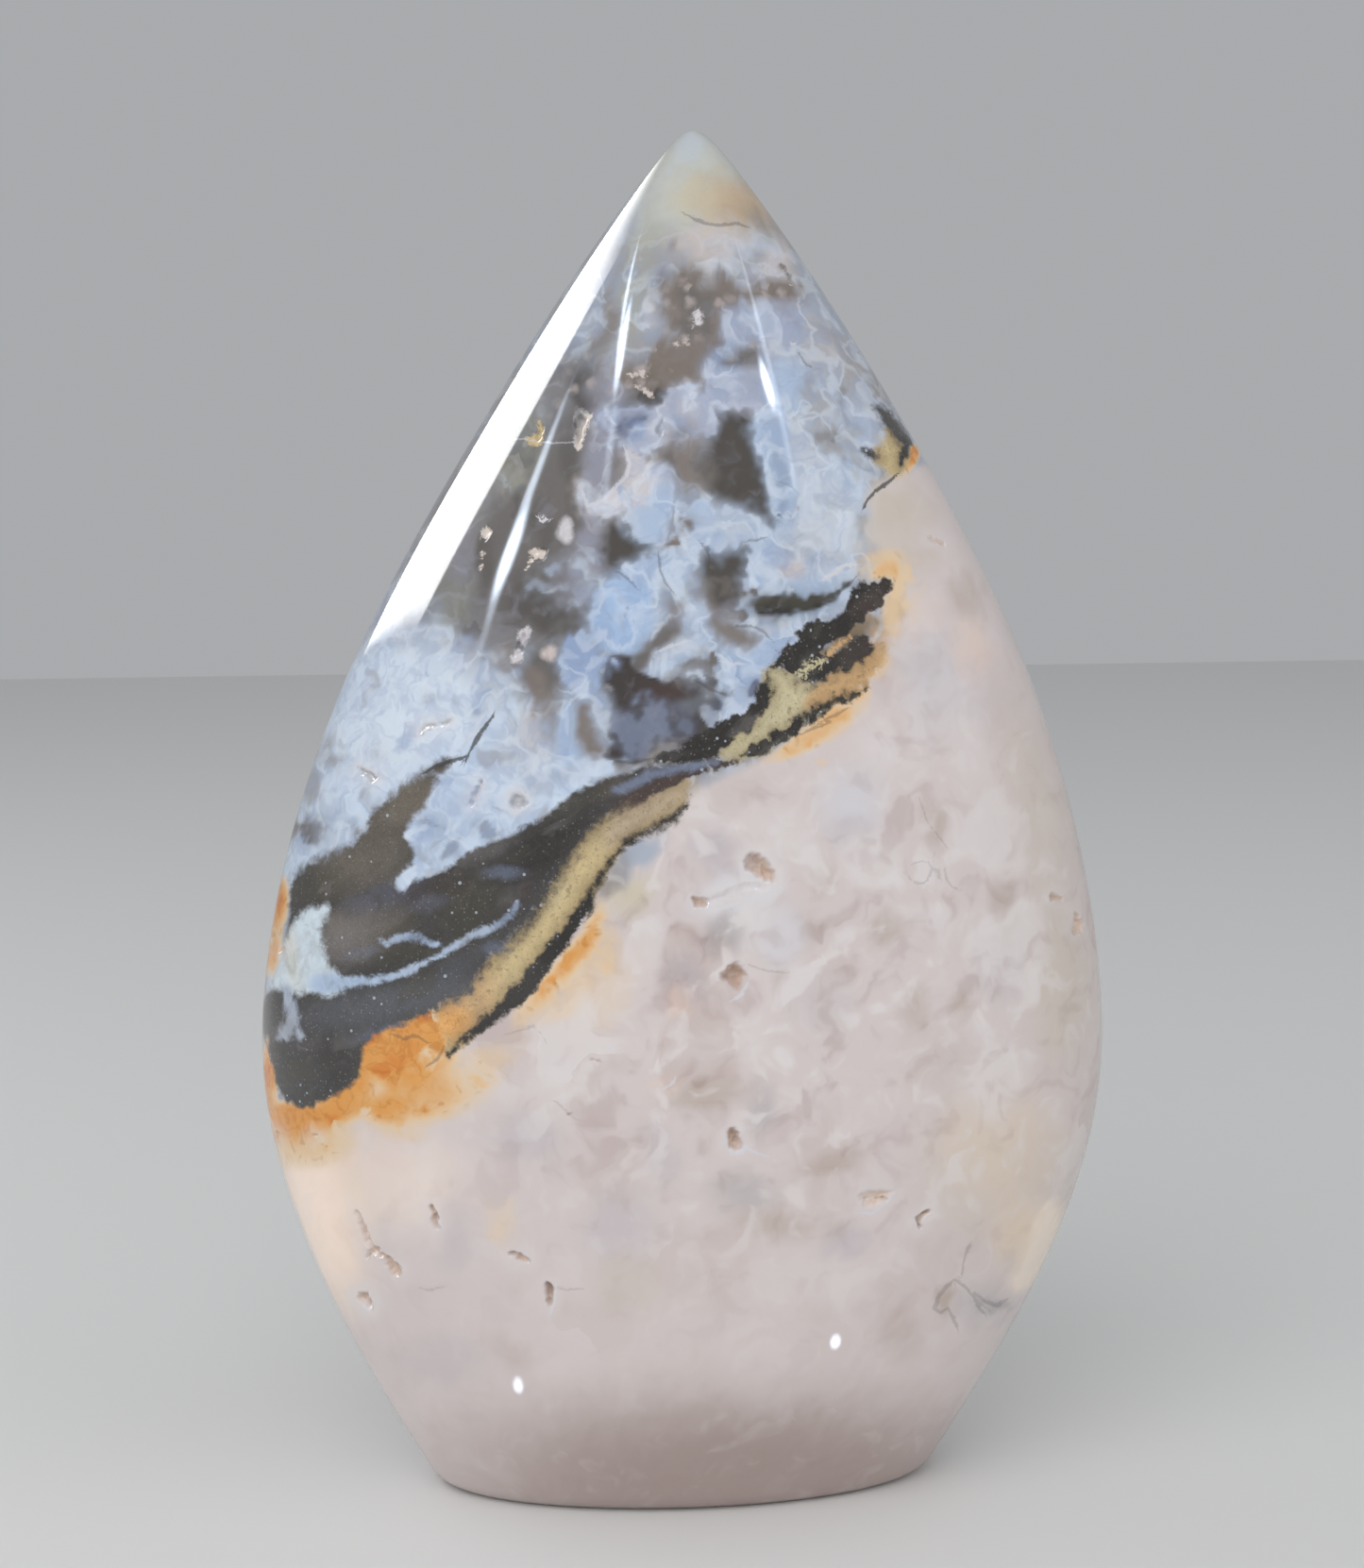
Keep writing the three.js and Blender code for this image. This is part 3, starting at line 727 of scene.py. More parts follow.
    "tanPatch": patch("warmSmoke", [(684, 804), (690, 794), (706, 788), (719, 790), (719, 800), (700, 806)]),
    "cutA": stroke("midSmoke", [(756, 692, 2), (758, 704, 2.5)], 2),
    "cutB": stroke("gritBlue", [(768, 746, 3.5), (776, 744, 3)], 2, feather=4),
    "cutC": stroke("gritBlue", [(794, 735, 3), (799, 724, 3)], 2, feather=4),
    "cutD": stroke("midSmoke", [(752, 734, 1), (766, 737, 2), (778, 736, 1)], 2, feather=4),
    "cutE": stroke("deepSky", [(778, 716, 3), (786, 726, 2.5), (782, 742, 2)], 2, feather=6),
    "wispHigh": stroke("blueMist", [(584, 603, 2), (600, 594, 4), (618, 602, 5), (628, 618, 5),
        (620, 632, 3)], 4, feather=7, strength=0.7),
    "wispMid": stroke("blueMist", [(562, 622, 2), (580, 628, 3), (600, 622, 3)], 4, feather=6, strength=0.5),
    "wispLow": stroke("blueMist", [(600, 646, 1), (613, 632, 4), (622, 618, 3)], 3, feather=6, strength=0.5),
    "wispFoot": stroke("deepSky", [(546, 716, 4), (556, 728, 6), (566, 738, 3)], 4, feather=6, strength=0.6),
    "leftSheetFade": patch("paleSky", [(370, 690), (430, 662), (505, 690), (530, 730), (560, 760),
        (560, 830), (440, 850), (340, 850), (330, 790)], 22),
    "leftSheet": patch("sheetBlue", [(360, 700), (430, 690), (505, 700), (540, 724), (556, 745), (578, 740),
        (592, 760), (596, 800), (640, 800), (655, 812), (600, 850), (549, 884), (521, 898), (499, 915),
        (460, 932), (426, 950), (400, 940), (360, 930), (300, 965), (285, 930), (318, 870), (330, 830),
        (345, 780), (352, 730)], 6, feather=7),
    "leftMilk": patch("milkBlue", [(380, 715), (440, 690), (500, 708), (528, 745), (510, 770), (480, 785),
        (440, 810), (400, 840), (366, 836), (362, 790)], 18, strength=0.5),
    "domeMilk": patch("paleSky", [(534, 770), (548, 750), (566, 745), (582, 760), (590, 800), (566, 822),
        (536, 822), (520, 800)], 9),
    "domeGrey": stroke("pinkGrey", [(566, 760, 8), (566, 785, 10)], 10, strength=0.55),
    "brownColumn": stroke("brownSmoke", [(566, 722, 12), (574, 745, 10), (584, 768, 8),
        (586, 790, 6)], 6, feather=4, strength=0.9),
    "lightColumn": patch("skyBlue", [(592, 744), (604, 740), (610, 752), (612, 780), (618, 804), (604, 812),
        (592, 800), (590, 772)], 4, feather=4),
    "brownColumnRight": patch("brownSmoke", [(610, 742), (624, 740), (630, 760), (634, 785), (640, 800),
        (622, 800), (614, 780)], 5),
    "lightColumnRight": patch("blueMist", [(626, 742), (642, 734), (646, 752), (646, 786), (636, 788),
        (630, 764)], 5, feather=4, strength=0.8),
    "speckled": patch("deepSky", [(600, 676), (612, 668), (626, 676), (640, 690), (642, 710), (634, 716),
        (630, 732), (615, 740), (605, 728), (597, 712), (592, 694)], 3, feather=8),
    "speckledDot": patch("skyBlue", ringOutline(616, 726, 12, 10, 0, seed=4), 2, rim=0.4),
    "spotWedge": patch("smokeGrey", [(314, 868), (334, 866), (350, 876), (340, 888),
        (324, 896)], 5, feather=4),
    "spotLens": stroke("gritBlue", [(444, 867, 1.5), (455, 872, 3.5), (470, 878, 1)], 3, strength=0.7),
    "spotComma": stroke("mistGrey", [(376, 876, 1), (382, 882, 2.5)]),
    "bandDots": stroke("gritBlue", [(516, 872, 2), (522, 884, 3), (534, 880, 1)], strength=0.5, feather=7),
    "bandDotsLow": stroke("gritBlue", [(468, 908, 1), (478, 898, 3),
        (484, 892, 1)], 2, strength=0.5, feather=4),
    "greyDotA": stroke("blueMist", [(452, 740, 3), (457, 738, 2)], 3),
    "greyDotB": stroke("blueMist", [(503, 752, 4), (508, 755, 2)], 3),
    "greyDotC": stroke("mistGrey", [(399, 797, 2), (400, 800, 2)], 2),
    "rimShadeHigh": stroke("mistGrey", [(350, 786, 8), (340, 796, 8), (358, 806, 5)], 8, strength=0.7),
    "rimShadeLow": stroke("mistGrey", [(334, 822, 7), (330, 840, 7)], 7, strength=0.7),
    "armOlive": stroke("sandGold", [(952, 628, 6), (946, 648, 10), (934, 664, 11), (928, 680, 10),
        (930, 694, 8)], 9, feather=6, strength=0.9),
    "armCrystal": stroke("stainCream", [(956, 606, 7), (958, 616, 6)], 4, feather=8),
    "armCrystalLow": stroke("stainCream", [(956, 630, 8), (962, 640, 5)], 4, feather=8),
    "armSmoke": stroke("goldBrown", [(874, 691, 5), (886, 685, 6), (906, 670, 9),
        (922, 660, 6)], 7, feather=6, strength=0.9),
    # a band of painted glow along the lower right edge
    "paintedRightGlow": patch("paintedGlowGold", [(1108, 1270), (1128, 1280), (1124, 1320), (1100, 1362), (1066, 1366),
        (1082, 1336), (1096, 1300)], 5, feather=2),
}

# Soft shades over them: colour, x, y, long, wide, turn, strength
zoneShades = [
    ("brownSmoke", 728, 478, 26, 34, 0, 0.6), ("warmSmoke", 742, 505, 20, 18, 0, 0.5),
    ("greySky", 868, 575, 40, 42, 0, 0.7), ("greySky", 850, 470, 26, 60, 10, 0.45),
    ("greySky", 880, 545, 40, 30, 0, 0.5), ("mistGrey", 880, 400, 40, 50, 30, 0.3),
    ("warmSmoke", 742, 625, 14, 30, 20, 0.45), ("lavenderSmoke", 770, 652, 18, 12, 0, 0.5),
    ("deepSky", 690, 600, 12, 16, 0, 0.3), ("milkBlue", 770, 558, 28, 10, 5, 0.15),
    ("milkBlue", 660, 640, 12, 14, 0, 0.35), ("deepSky", 640, 672, 16, 16, 0, 0.35),
    ("lavenderSmoke", 718, 655, 20, 16, 30, 0.4), ("lavenderSmoke", 610, 622, 26, 34, 0, 0.45),
    ("warmSmoke", 660, 500, 16, 20, 0, 0.3), ("slateBlue", 700, 770, 40, 30, 0, 0.3),
    ("slateBlue", 823, 500, 10, 40, 10, 0.4), ("blueMist", 350, 875, 24, 34, 0, 0.5),
    ("blueMist", 740, 745, 20, 14, 20, 0.25), ("lavenderSmoke", 500, 700, 40, 26, 0, 0.4),
    ("mistGrey", 530, 720, 26, 30, 0, 0.35), ("greySky", 890, 440, 40, 60, 30, 0.4),
    ("greySky", 775, 556, 30, 14, 0, 0.5), ("milkBlue", 420, 780, 50, 36, -20, 0.4),
    ("milkBlue", 470, 720, 40, 20, 0, 0.4), ("deepSky", 470, 860, 40, 30, 30, 0.25),
    ("greySky", 560, 785, 26, 34, 0, 0.5), ("beige", 924, 578, 20, 36, -10, 0.6),
    ("lavenderSmoke", 575, 830, 50, 14, 20, 0.35),
]

# Smoky and black plumes, painted over the clouds
darkPlumes = {
    "mainBand": patch("plumeGrey", [(286, 1050), (296, 1035), (303, 1000), (306, 975), (307, 950),
        (308, 930), (314, 921), (330, 912), (350, 903), (372, 893), (380, 886), (388, 876), (394, 862),
        (404, 850), (416, 840), (430, 830), (446, 820), (458, 814), (470, 806), (486, 797), (478, 808),
        (466, 820), (460, 832), (454, 844), (444, 858), (434, 870), (424, 884), (432, 894), (441, 905),
        (436, 914), (424, 926), (418, 938), (425, 948), (434, 940), (446, 930), (462, 925), (478, 918),
        (492, 906), (508, 896), (524, 890), (549, 880), (583, 862), (611, 838), (653, 822), (690, 812),
        (715, 812), (735, 810), (760, 807), (784, 804), (764, 812), (738, 819), (715, 826), (697, 834),
        (672, 846), (655, 857), (638, 870), (620, 890), (605, 906), (592, 930), (577, 955), (563, 979),
        (542, 1000), (520, 1020), (498, 1046), (485, 1057), (470, 1067), (455, 1077), (440, 1084),
        (428, 1088), (405, 1094), (391, 1101), (381, 1115), (383, 1135), (372, 1152), (350, 1163),
        (325, 1172), (308, 1171), (296, 1155), (287, 1130), (282, 1100),
        (278, 1060)], 3.5, feather=5, passes=1),
    "veinB": stroke("plumeBlack", [(473, 1121, 1), (485, 1109, 3), (498, 1095, 4), (515, 1080, 7),
        (530, 1070, 8), (546, 1056, 10), (562, 1040, 10), (578, 1016, 9), (592, 998, 8), (604, 980, 8),
        (616, 966, 9), (626, 948, 6), (638, 928, 3.5), (650, 908, 3), (664, 892, 4.5), (682, 880, 5),
        (700, 874, 5.5), (713, 864, 4.5), (724, 856, 2.5), (733, 848, 0.5)]),
    "longLine": stroke("maroon", [(655, 856, 3), (680, 842, 6), (700, 832, 6), (722, 824, 4), (745, 816, 3),
        (765, 811, 2.5), (783, 807, 1)], 2),
    "blackMass": patch("plumeBlack", [(946, 611), (930, 617), (914, 617), (900, 624), (899, 640), (886, 651),
        (870, 660), (850, 660), (838, 680), (826, 690), (816, 698), (811, 716), (803, 730), (799, 746),
        (787, 756), (776, 760), (764, 764), (752, 770), (740, 780), (722, 790), (700, 797), (690, 806),
        (715, 809), (740, 807), (758, 806), (768, 790), (790, 776), (806, 758), (817, 742), (819, 726),
        (812, 712), (824, 706), (836, 712), (848, 724), (860, 728), (871, 721), (890, 711), (902, 705),
        (920, 698), (929, 690), (927, 677), (910, 674), (893, 682), (884, 690), (872, 694), (876, 684),
        (888, 679), (899, 671), (914, 656), (929, 646), (942, 630)], passes=1),
    "veinUnderGold": stroke("plumeBlack", [(915, 731, 1), (900, 736, 2.5), (880, 745, 4), (862, 757, 6),
        (845, 768, 7), (825, 781, 6.5), (805, 793, 4), (785, 801, 1.5)]),
    "edgeCluster": patch("plumeGrey", [(922, 426), (936, 430), (950, 440), (960, 455), (970, 470),
        (960, 478), (948, 464), (932, 446)], 5),
    "edgeClusterLow": patch("plumeGrey", [(909, 474), (924, 476), (934, 487), (920, 488)], 4),
    "edgeStrip": stroke("plumeBlack", [(960, 468, 3), (958, 482, 4), (954, 492, 2)]),
    "rimDabs": stroke("smokeGrey", [(826, 276, 2), (834, 286, 3), (838, 298, 1.5)], 3),
}

# Light chalcedony that crosses the dark band
crossingVeils = {
    "leftPatch": patch("veilWhite", [(352, 958), (335, 960), (318, 966), (308, 985), (300, 1005),
        (292, 1022), (286, 1040), (296, 1050), (315, 1054), (330, 1048), (345, 1054), (358, 1056),
        (366, 1048), (362, 1034), (348, 1022), (342, 1008), (338, 990), (342, 975)], 5),
    "longVeil": stroke("skyBlue", [(340, 1042, 8), (360, 1042, 7), (380, 1040, 5.5), (400, 1036, 4.5),
        (422, 1031, 3.5), (440, 1024, 2.5), (462, 1013, 1.5), (480, 1003, 2), (500, 992, 3.5), (520, 984, 5),
        (534, 976, 4.5), (544, 965, 3), (549, 957, 1)], 3),
    "shortVeil": stroke("skyBlue", [(402, 994, 3), (410, 998, 4), (425, 993, 3), (440, 993, 3.5),
        (452, 999, 4), (466, 1000, 1.5)], 3),
    "leftDrop": stroke("blueMist", [(303, 1050, 4), (306, 1062, 6), (309, 1078, 7), (306, 1092, 8),
        (298, 1098, 4)], 4),
    "leftDab": stroke("blueMist", [(315, 1092, 4), (318, 1098, 3)], 4),
    "lavenderEdge": stroke("slateBlue", [(650, 838, 2), (665, 833, 4), (690, 822, 5), (715, 815, 4),
        (745, 810, 3), (760, 808, 1)], 4),
    "massPocket": patch("blueMist", [(884, 640), (896, 632), (898, 642), (888, 652), (880, 654)], 3),
}

veilShades = [
    ("slateBlue", 540, 965, 26, 22, 40, 0.7), ("blueMist", 500, 992, 30, 16, 20, 0.7),
    ("blueMist", 440, 1022, 34, 12, 20, 0.5), ("oliveCream", 308, 1010, 10, 40, 10, 0.4),
    ("slateBlue", 440, 996, 24, 8, 0, 0.6), ("blueMist", 410, 996, 14, 8, 0, 0.5),
    ("mistGrey", 306, 1090, 14, 20, 0, 0.4),
]

# Small light inclusions, level with the polish, painted over everything else
lightInclusions = {
    "goldInset": stroke("sandGold", [(877, 697, 1.5), (881, 689, 3), (889, 682, 2.5),
        (900, 674, 1.5)], feather=5),
    "greenInset": stroke("goldGreen", [(848, 714, 3), (858, 707, 4.5), (870, 701, 2)], 3, feather=10),
    "paleBlob": patch("shellWhite", ringOutline(598, 562, 13, 9, 80, seed=1), 4, feather=1),
    "pinkSpot": patch("pinkGrey", ringOutline(582, 692, 8, 8, 80, seed=2), 4, feather=1),
    "whiteBean": patch("shellWhite", ringOutline(555, 673, 10, 7, 75, seed=3)),
    "whiteBeanLow": patch("shellWhite", ringOutline(547, 695, 8, 7, 40, seed=4), 2, feather=2.5),
    "pinkChip": patch("crystal", ringOutline(515, 564, 7, 5, 70, seed=5), 1.5, feather=3.5),
    "pinkChipLow": patch("crystal", ringOutline(570, 586, 9, 6, 5, seed=6), 1.5, feather=3.5),
    "pinkTail": stroke("crystal", [(562, 594, 2), (558, 602, 1)], 1.5, feather=5),
    "glassChip": stroke("shellWhite", [(572, 546, 2), (577, 551, 3)], 1.5, feather=8),
    "smallChips": stroke("crystal", [(511, 586, 2.5), (509, 590, 1)], 1.5),
    "smallChipsLow": stroke("crystal", [(509, 600, 2), (509, 604, 1)], 1.5),
    "goldChip": patch("mustard", [(568, 442), (576, 450), (575, 473), (557, 471), (560, 462),
        (571, 460)], 1.5, feather=4),
    "glass": patch("mistGrey", [(606, 440), (616, 431), (627, 440), (624, 452), (618, 468), (616, 478),
        (610, 478), (608, 464), (612, 452)], 2, feather=4),
    "glassRim": stroke("crystal", [(627, 440, 1), (621, 448, 1.6), (617, 462, 1.2),
        (614, 476, 2)], 1.2, feather=4),
    "cloudRing": stroke("coolWhite", [(540, 842, 1.2), (548, 838, 1.6), (557, 843, 1.4), (558, 853, 1.4),
        (550, 860, 1.8), (541, 855, 1.2)], 1.5),
    "cloudSlit": stroke("coolWhite", [(511, 830, 1.2), (506, 840, 1.8), (502, 848, 1.6)], 1.5),
    "nickRim": stroke("coolWhite", [(380, 812, 1), (386, 817, 1.6), (393, 827, 1.4)], 1.5),
    "veilNickCore": stroke("vugGrey", [(446, 778, 2), (450, 771, 4), (459, 768, 3.5)], 2),
    "veilNickSide": stroke("vugGrey", [(470, 767, 2), (477, 763, 2.5)], 1.5),
    "cloudNickCore": stroke("vugGrey", [(381, 812, 2), (388, 817, 4), (397, 824, 4)], 2),
    "cloudCore": patch("vugGrey", ringOutline(549, 849, 8, 8, 20, seed=3), 3),
    "tipLump": patch("shellWhite", ringOutline(738, 336, 8, 6, 60, seed=7), 3, feather=5),
    "tipLumpLow": patch("pinkGrey", ringOutline(716, 366, 5, 3, 0, seed=8), feather=5),
    "tipLumpSide": patch("pinkGrey", ringOutline(727, 362, 3, 5, 0, seed=9), feather=5),
    "snowLine": stroke("pinkGrey", [(668, 396, 2), (678, 394, 2.5), (690, 391, 1.5)], 2, feather=7),
    "snowDots": stroke("pinkGrey", [(676, 408, 2), (684, 412, 3), (692, 420, 1)], 2, feather=4),
    # a painted highlight along the crevice on the right shoulder
    "shoulderRowHighlight": stroke("shellWhite", [(871, 614, 1), (881, 607, 2), (893, 599, 1.6),
        (905, 597, 1)], 1.5, feather=4),
    "shoulderSpeck": stroke("shellWhite", [(838, 299, 2), (842, 300, 1.5)], 1.5),
    "shoulderDot": stroke("shellWhite", [(838, 363, 2), (841, 364, 1.5)], 1.5),
}

# Shades inside the dark plumes
plumeShades = [
    ("armBrown", 430, 850, 56, 26, 42, 1.0), ("armBrown", 385, 912, 60, 32, 25, 0.9),
    ("oliveBlack", 332, 940, 40, 20, 10, 0.6), ("armBrown", 385, 985, 56, 30, 20, 0.85),
    ("maroonSmoke", 450, 948, 60, 24, 15, 0.8), ("warmSmoke", 358, 985, 16, 20, 30, 0.4),
    ("oliveBlack", 500, 955, 46, 34, 30, 0.7), ("plumeBlack", 575, 900, 70, 24, 35, 0.75),
    ("oliveBlack", 430, 1010, 50, 8, 5, 0.7), ("coolGrey", 400, 1066, 110, 22, 12, 0.9),
    ("slateBlue", 410, 1094, 44, 8, 12, 0.4), ("plumeGrey", 335, 1125, 54, 44, 0, 0.5),
    ("plumeBlack", 360, 1130, 22, 36, 30, 0.4), ("maroon", 556, 945, 6, 18, 0, 0.5),
    ("armBrown", 470, 828, 30, 10, 42, 0.8), ("plumeBlack", 760, 770, 36, 16, 20, 0.7),
    ("plumeBlack", 680, 790, 60, 14, 10, 0.6), ("smokeBrown", 645, 835, 24, 10, 30, 0.5),
    ("maroon", 910, 690, 24, 14, 20, 0.6), ("maroon", 924, 638, 26, 14, 35, 0.7),
    ("slateBlue", 532, 925, 24, 8, 0, 0.6), ("slateSmoke", 405, 950, 46, 15, 20, 0.5),
    ("slateSmoke", 456, 958, 24, 10, 10, 0.5), ("slateBlue", 382, 1009, 20, 6, 15, 0.5),
    ("slateBlue", 526, 1005, 16, 8, 0, 0.5), ("smokeGrey", 362, 1000, 36, 24, 10, 0.7),
    ("smokeGrey", 400, 975, 40, 16, 20, 0.4), ("smokeGrey", 350, 905, 30, 10, 25, 0.4),
    ("coolGrey", 470, 1035, 50, 14, 35, 0.6), ("armBrown", 545, 860, 50, 10, 32, 0.5),
    ("oliveBlack", 620, 845, 40, 10, 25, 0.5), ("smokeGrey", 520, 900, 30, 10, 30, 0.3),
]
# Places where the plumes' edges are softer or more broken up: x, y, long, wide, turn, soft, feather
plumeEdges = [
    (570, 965, 130, 22, 52, 9, 18), (650, 865, 40, 18, 35, 8, 12), (480, 1060, 60, 16, 30, 6, 14),
    (420, 845, 70, 24, 42, 7, 9), (325, 905, 60, 24, 20, 8, 9), (640, 940, 40, 26, 50, 5, 8),
    (690, 880, 46, 20, 30, 6, 9), (840, 745, 50, 20, 30, 4, 12), (880, 748, 40, 16, 25, 5, 13),
    (300, 1110, 20, 60, 0, 3, 3), (900, 700, 50, 30, 25, 4, 10), (850, 690, 50, 40, 20, 3, 9),
]

# Grainy gold between the plumes
goldBands = {
    "long": patch("mustard", [(722, 828), (700, 836), (675, 848), (658, 858), (640, 870), (622, 890),
        (607, 906), (594, 930), (579, 955), (565, 979), (544, 1000), (522, 1020), (500, 1046), (487, 1057),
        (472, 1067), (466, 1085), (474, 1110), (486, 1104), (498, 1090), (512, 1076), (528, 1064),
        (545, 1048), (560, 1032), (576, 1008), (592, 990), (606, 972), (620, 950), (634, 930), (646, 906),
        (660, 888), (680, 874), (700, 865), (718, 850), (730, 838)], 4),
    "speckled": patch("goldGreen", [(814, 706), (840, 714), (852, 728), (864, 732), (880, 728), (874, 748),
        (848, 762), (826, 778), (804, 794), (774, 802), (764, 792), (794, 768), (810, 748),
        (813, 728)], 6, feather=15),
    "upper": patch("sandGold", [(864, 732), (885, 718), (904, 706), (926, 694), (940, 688), (936, 706),
        (914, 725), (894, 736), (866, 750), (850, 750)], 5),
    "edge": patch("mustard", [(945, 455), (954, 468), (958, 490), (950, 504), (938, 500), (930, 484),
        (938, 466)], 6),
}
goldShades = [
    ("sandGold", 490, 1060, 46, 40, 40, 0.85), ("amber", 478, 1085, 26, 22, 0, 0.7),
    ("duskGold", 695, 848, 54, 24, 25, 0.75), ("duskGold", 660, 878, 30, 16, 40, 0.7),
    ("goldGreen", 590, 945, 22, 12, 45, 0.35),
]

# Where iron has stained the stone: x, y, long, wide, turn, strength
rustClouds = [
    (430, 1125, 50, 34, 0, 1.0), (410, 1175, 28, 20, 0, 0.9), (462, 1104, 30, 24, 30, 0.9),
    (450, 1162, 46, 26, 0, 0.7), (500, 1140, 40, 34, 20, 0.35), (425, 1120, 22, 30, 0, 0.8),
    (430, 1200, 34, 18, 0, 0.3), (540, 1110, 44, 30, 30, 0.2), (306, 1182, 34, 16, 0, 1.0),
    (350, 1180, 42, 16, 12, 0.95), (285, 1140, 10, 50, 0, 1.0), (375, 1160, 22, 22, 40, 0.8),
    (325, 1208, 64, 34, 0, 0.5), (310, 1190, 40, 20, 0, 0.85), (295, 950, 12, 34, 0, 0.95),
    (290, 1000, 10, 36, 0, 0.8), (286, 960, 6, 40, 0, 0.8), (622, 992, 11, 26, -25, 0.75),
    (600, 1020, 13, 26, -30, 0.7), (578, 1046, 12, 24, -40, 0.6), (555, 1070, 14, 20, -40, 0.4),
    (634, 962, 16, 16, 0, 0.3), (625, 1020, 34, 50, -30, 0.3), (590, 1065, 30, 30, -30, 0.3),
    (932, 598, 34, 20, 10, 0.45), (424, 1086, 60, 26, 12, 0.9), (938, 606, 16, 10, 10, 0.35),
    (950, 624, 8, 20, 0, 0.4), (384, 1120, 20, 34, 0, 0.9), (350, 1160, 40, 16, 20, 0.8),
    (926, 706, 26, 18, 30, 0.4), (944, 650, 12, 34, 10, 0.38), (872, 771, 34, 16, 25, 0.55),
    (848, 789, 28, 12, 20, 0.42), (895, 752, 30, 12, 20, 0.35), (910, 734, 16, 9, 10, 0.5),
    (905, 765, 40, 24, 30, 0.15), (870, 806, 10, 6, 0, 0.35), (826, 800, 30, 8, 20, 0.3),
    (966, 484, 8, 18, -20, 1.0), (950, 504, 14, 8, 0, 0.25), (930, 470, 12, 20, 0, 0.2),
    (560, 980, 12, 24, -35, 0.25), (520, 1190, 50, 26, 0, 0.15), (640, 1000, 26, 34, 0, 0.15),
    (1000, 600, 40, 60, 0, 0.1), (917, 686, 12, 8, 20, 0.4),
]

# Thin lines, as paths with their half width
darkLines = {
    "needle": [(521, 757, 1), (513, 770, 2), (505, 782, 2.4), (500, 792, 1.4)],
    "needleFoot": [(500, 790, 0.6), (496, 800, 1.4), (493, 806, 0.5)],
    "needleTail": [(497, 799, 1), (478, 806, 2), (462, 812, 1.5), (448, 820, 0.5)],
    "edgeNeedle": [(949, 503, 0.8), (940, 511, 2), (928, 520, 2), (918, 530, 1.4), (915, 537, 0.5)],
}
creases = {
    "tipArc": [
        (726, 225, 0.6), (738, 232, 1.8), (750, 237, 2.2), (764, 239, 2.6), (780, 236, 2), (794, 240, 0.8)],
    "lobeCrease": [(793, 574, 0.6), (801, 573, 1.2), (810, 570, 0.8)],
    "lobeHook": [(744, 578, 1), (750, 583, 2), (752, 590, 1)],
    "hornCrease": [(655, 608, 0.8), (664, 613, 1.2), (674, 622, 0.6)],
    "cellCrease": [(697, 588, 0.8), (699, 604, 1.2), (704, 616, 1), (712, 626, 0.6)],
    "leafTip": [(872, 634, 1.5), (888, 626, 2.2), (900, 617, 1.8), (906, 610, 0.8)],
    "leafHook": [(780, 664, 0.8), (796, 662, 1.4), (808, 667, 1.4), (816, 675, 0.6)],
    "brownCurl": [(740, 724, 1), (752, 731, 1.6), (766, 736, 0.8)],
    "sandCrease": [(656, 806, 1), (672, 809, 1.4), (690, 804, 1)],
    "shoulderCrack": [(846, 372, 0.5), (852, 380, 1.4), (858, 389, 0.8)],
    "brushHigh": [(868, 766, 0.6), (884, 759, 1.8), (898, 751, 0.6)],
    "brushLow": [(848, 779, 0.6), (862, 772, 1.8), (878, 767, 0.6)],
    "rustCurl": [(418, 1098, 1), (428, 1102, 2.4), (440, 1098, 1.5), (450, 1104, 1)],
    "rustFold": [(470, 1110, 1), (464, 1122, 1.8), (452, 1130, 1)],
}
healedLines = {
    "ring": [
        (1013, 1355, 1.2), (1003, 1362, 2), (994, 1373, 2.2), (989, 1387, 2.2), (995, 1392, 1.6),
        (1003, 1387, 1.4)],
    "ringFoot": [(1004, 1387, 1.2), (1009, 1397, 2.2), (1013, 1407, 1.6)],
    "ringSide": [(1013, 1355, 1.2), (1022, 1362, 1.6), (1031, 1373, 1.4), (1037, 1385, 2)],
    "wing": [(1033, 1370, 1), (1044, 1380, 2), (1056, 1384, 2.4), (1066, 1376, 1.2)],
    "wingFoot": [(1035, 1384, 1.4), (1042, 1392, 1.4)],
    "stem": [(1028, 1320, 2.4), (1024, 1330, 1), (1021, 1350, 0.8)],
}
faintLines = {
    "slotCrack": [(589, 1363, 0.8), (602, 1366, 0.8), (617, 1365, 0.4)],
    "nickCrack": [(586, 1166, 0.6), (594, 1170, 1), (603, 1181, 1), (612, 1186, 0.4)],
    "lowCrack": [(448, 1366, 0.6), (456, 1367, 1), (466, 1362, 0.9), (476, 1364, 0.5)],
    "swirl": [
        (970, 915, 0.5), (982, 910, 1), (988, 920, 0.9), (984, 934, 1), (972, 938, 0.8), (962, 930, 0.5)],
    "swirlLeg": [(1000, 918, 0.5), (1002, 932, 1), (1012, 942, 1.1), (1018, 940, 0.5)],
    "flakeEdge": [(975, 848, 0.5), (982, 870, 0.9), (1003, 896, 0.6)],
    "curl": [(536, 1095, 0.5), (550, 1090, 1), (566, 1085, 1), (575, 1098, 0.9), (582, 1108, 0.6)],
    "blueCrease": [(820, 508, 0.5), (838, 514, 1), (846, 522, 0.5)],
    "rhombCrack": [(793, 1022, 0.7), (806, 1026, 0.9), (820, 1030, 1), (836, 1029, 0.5)],
}
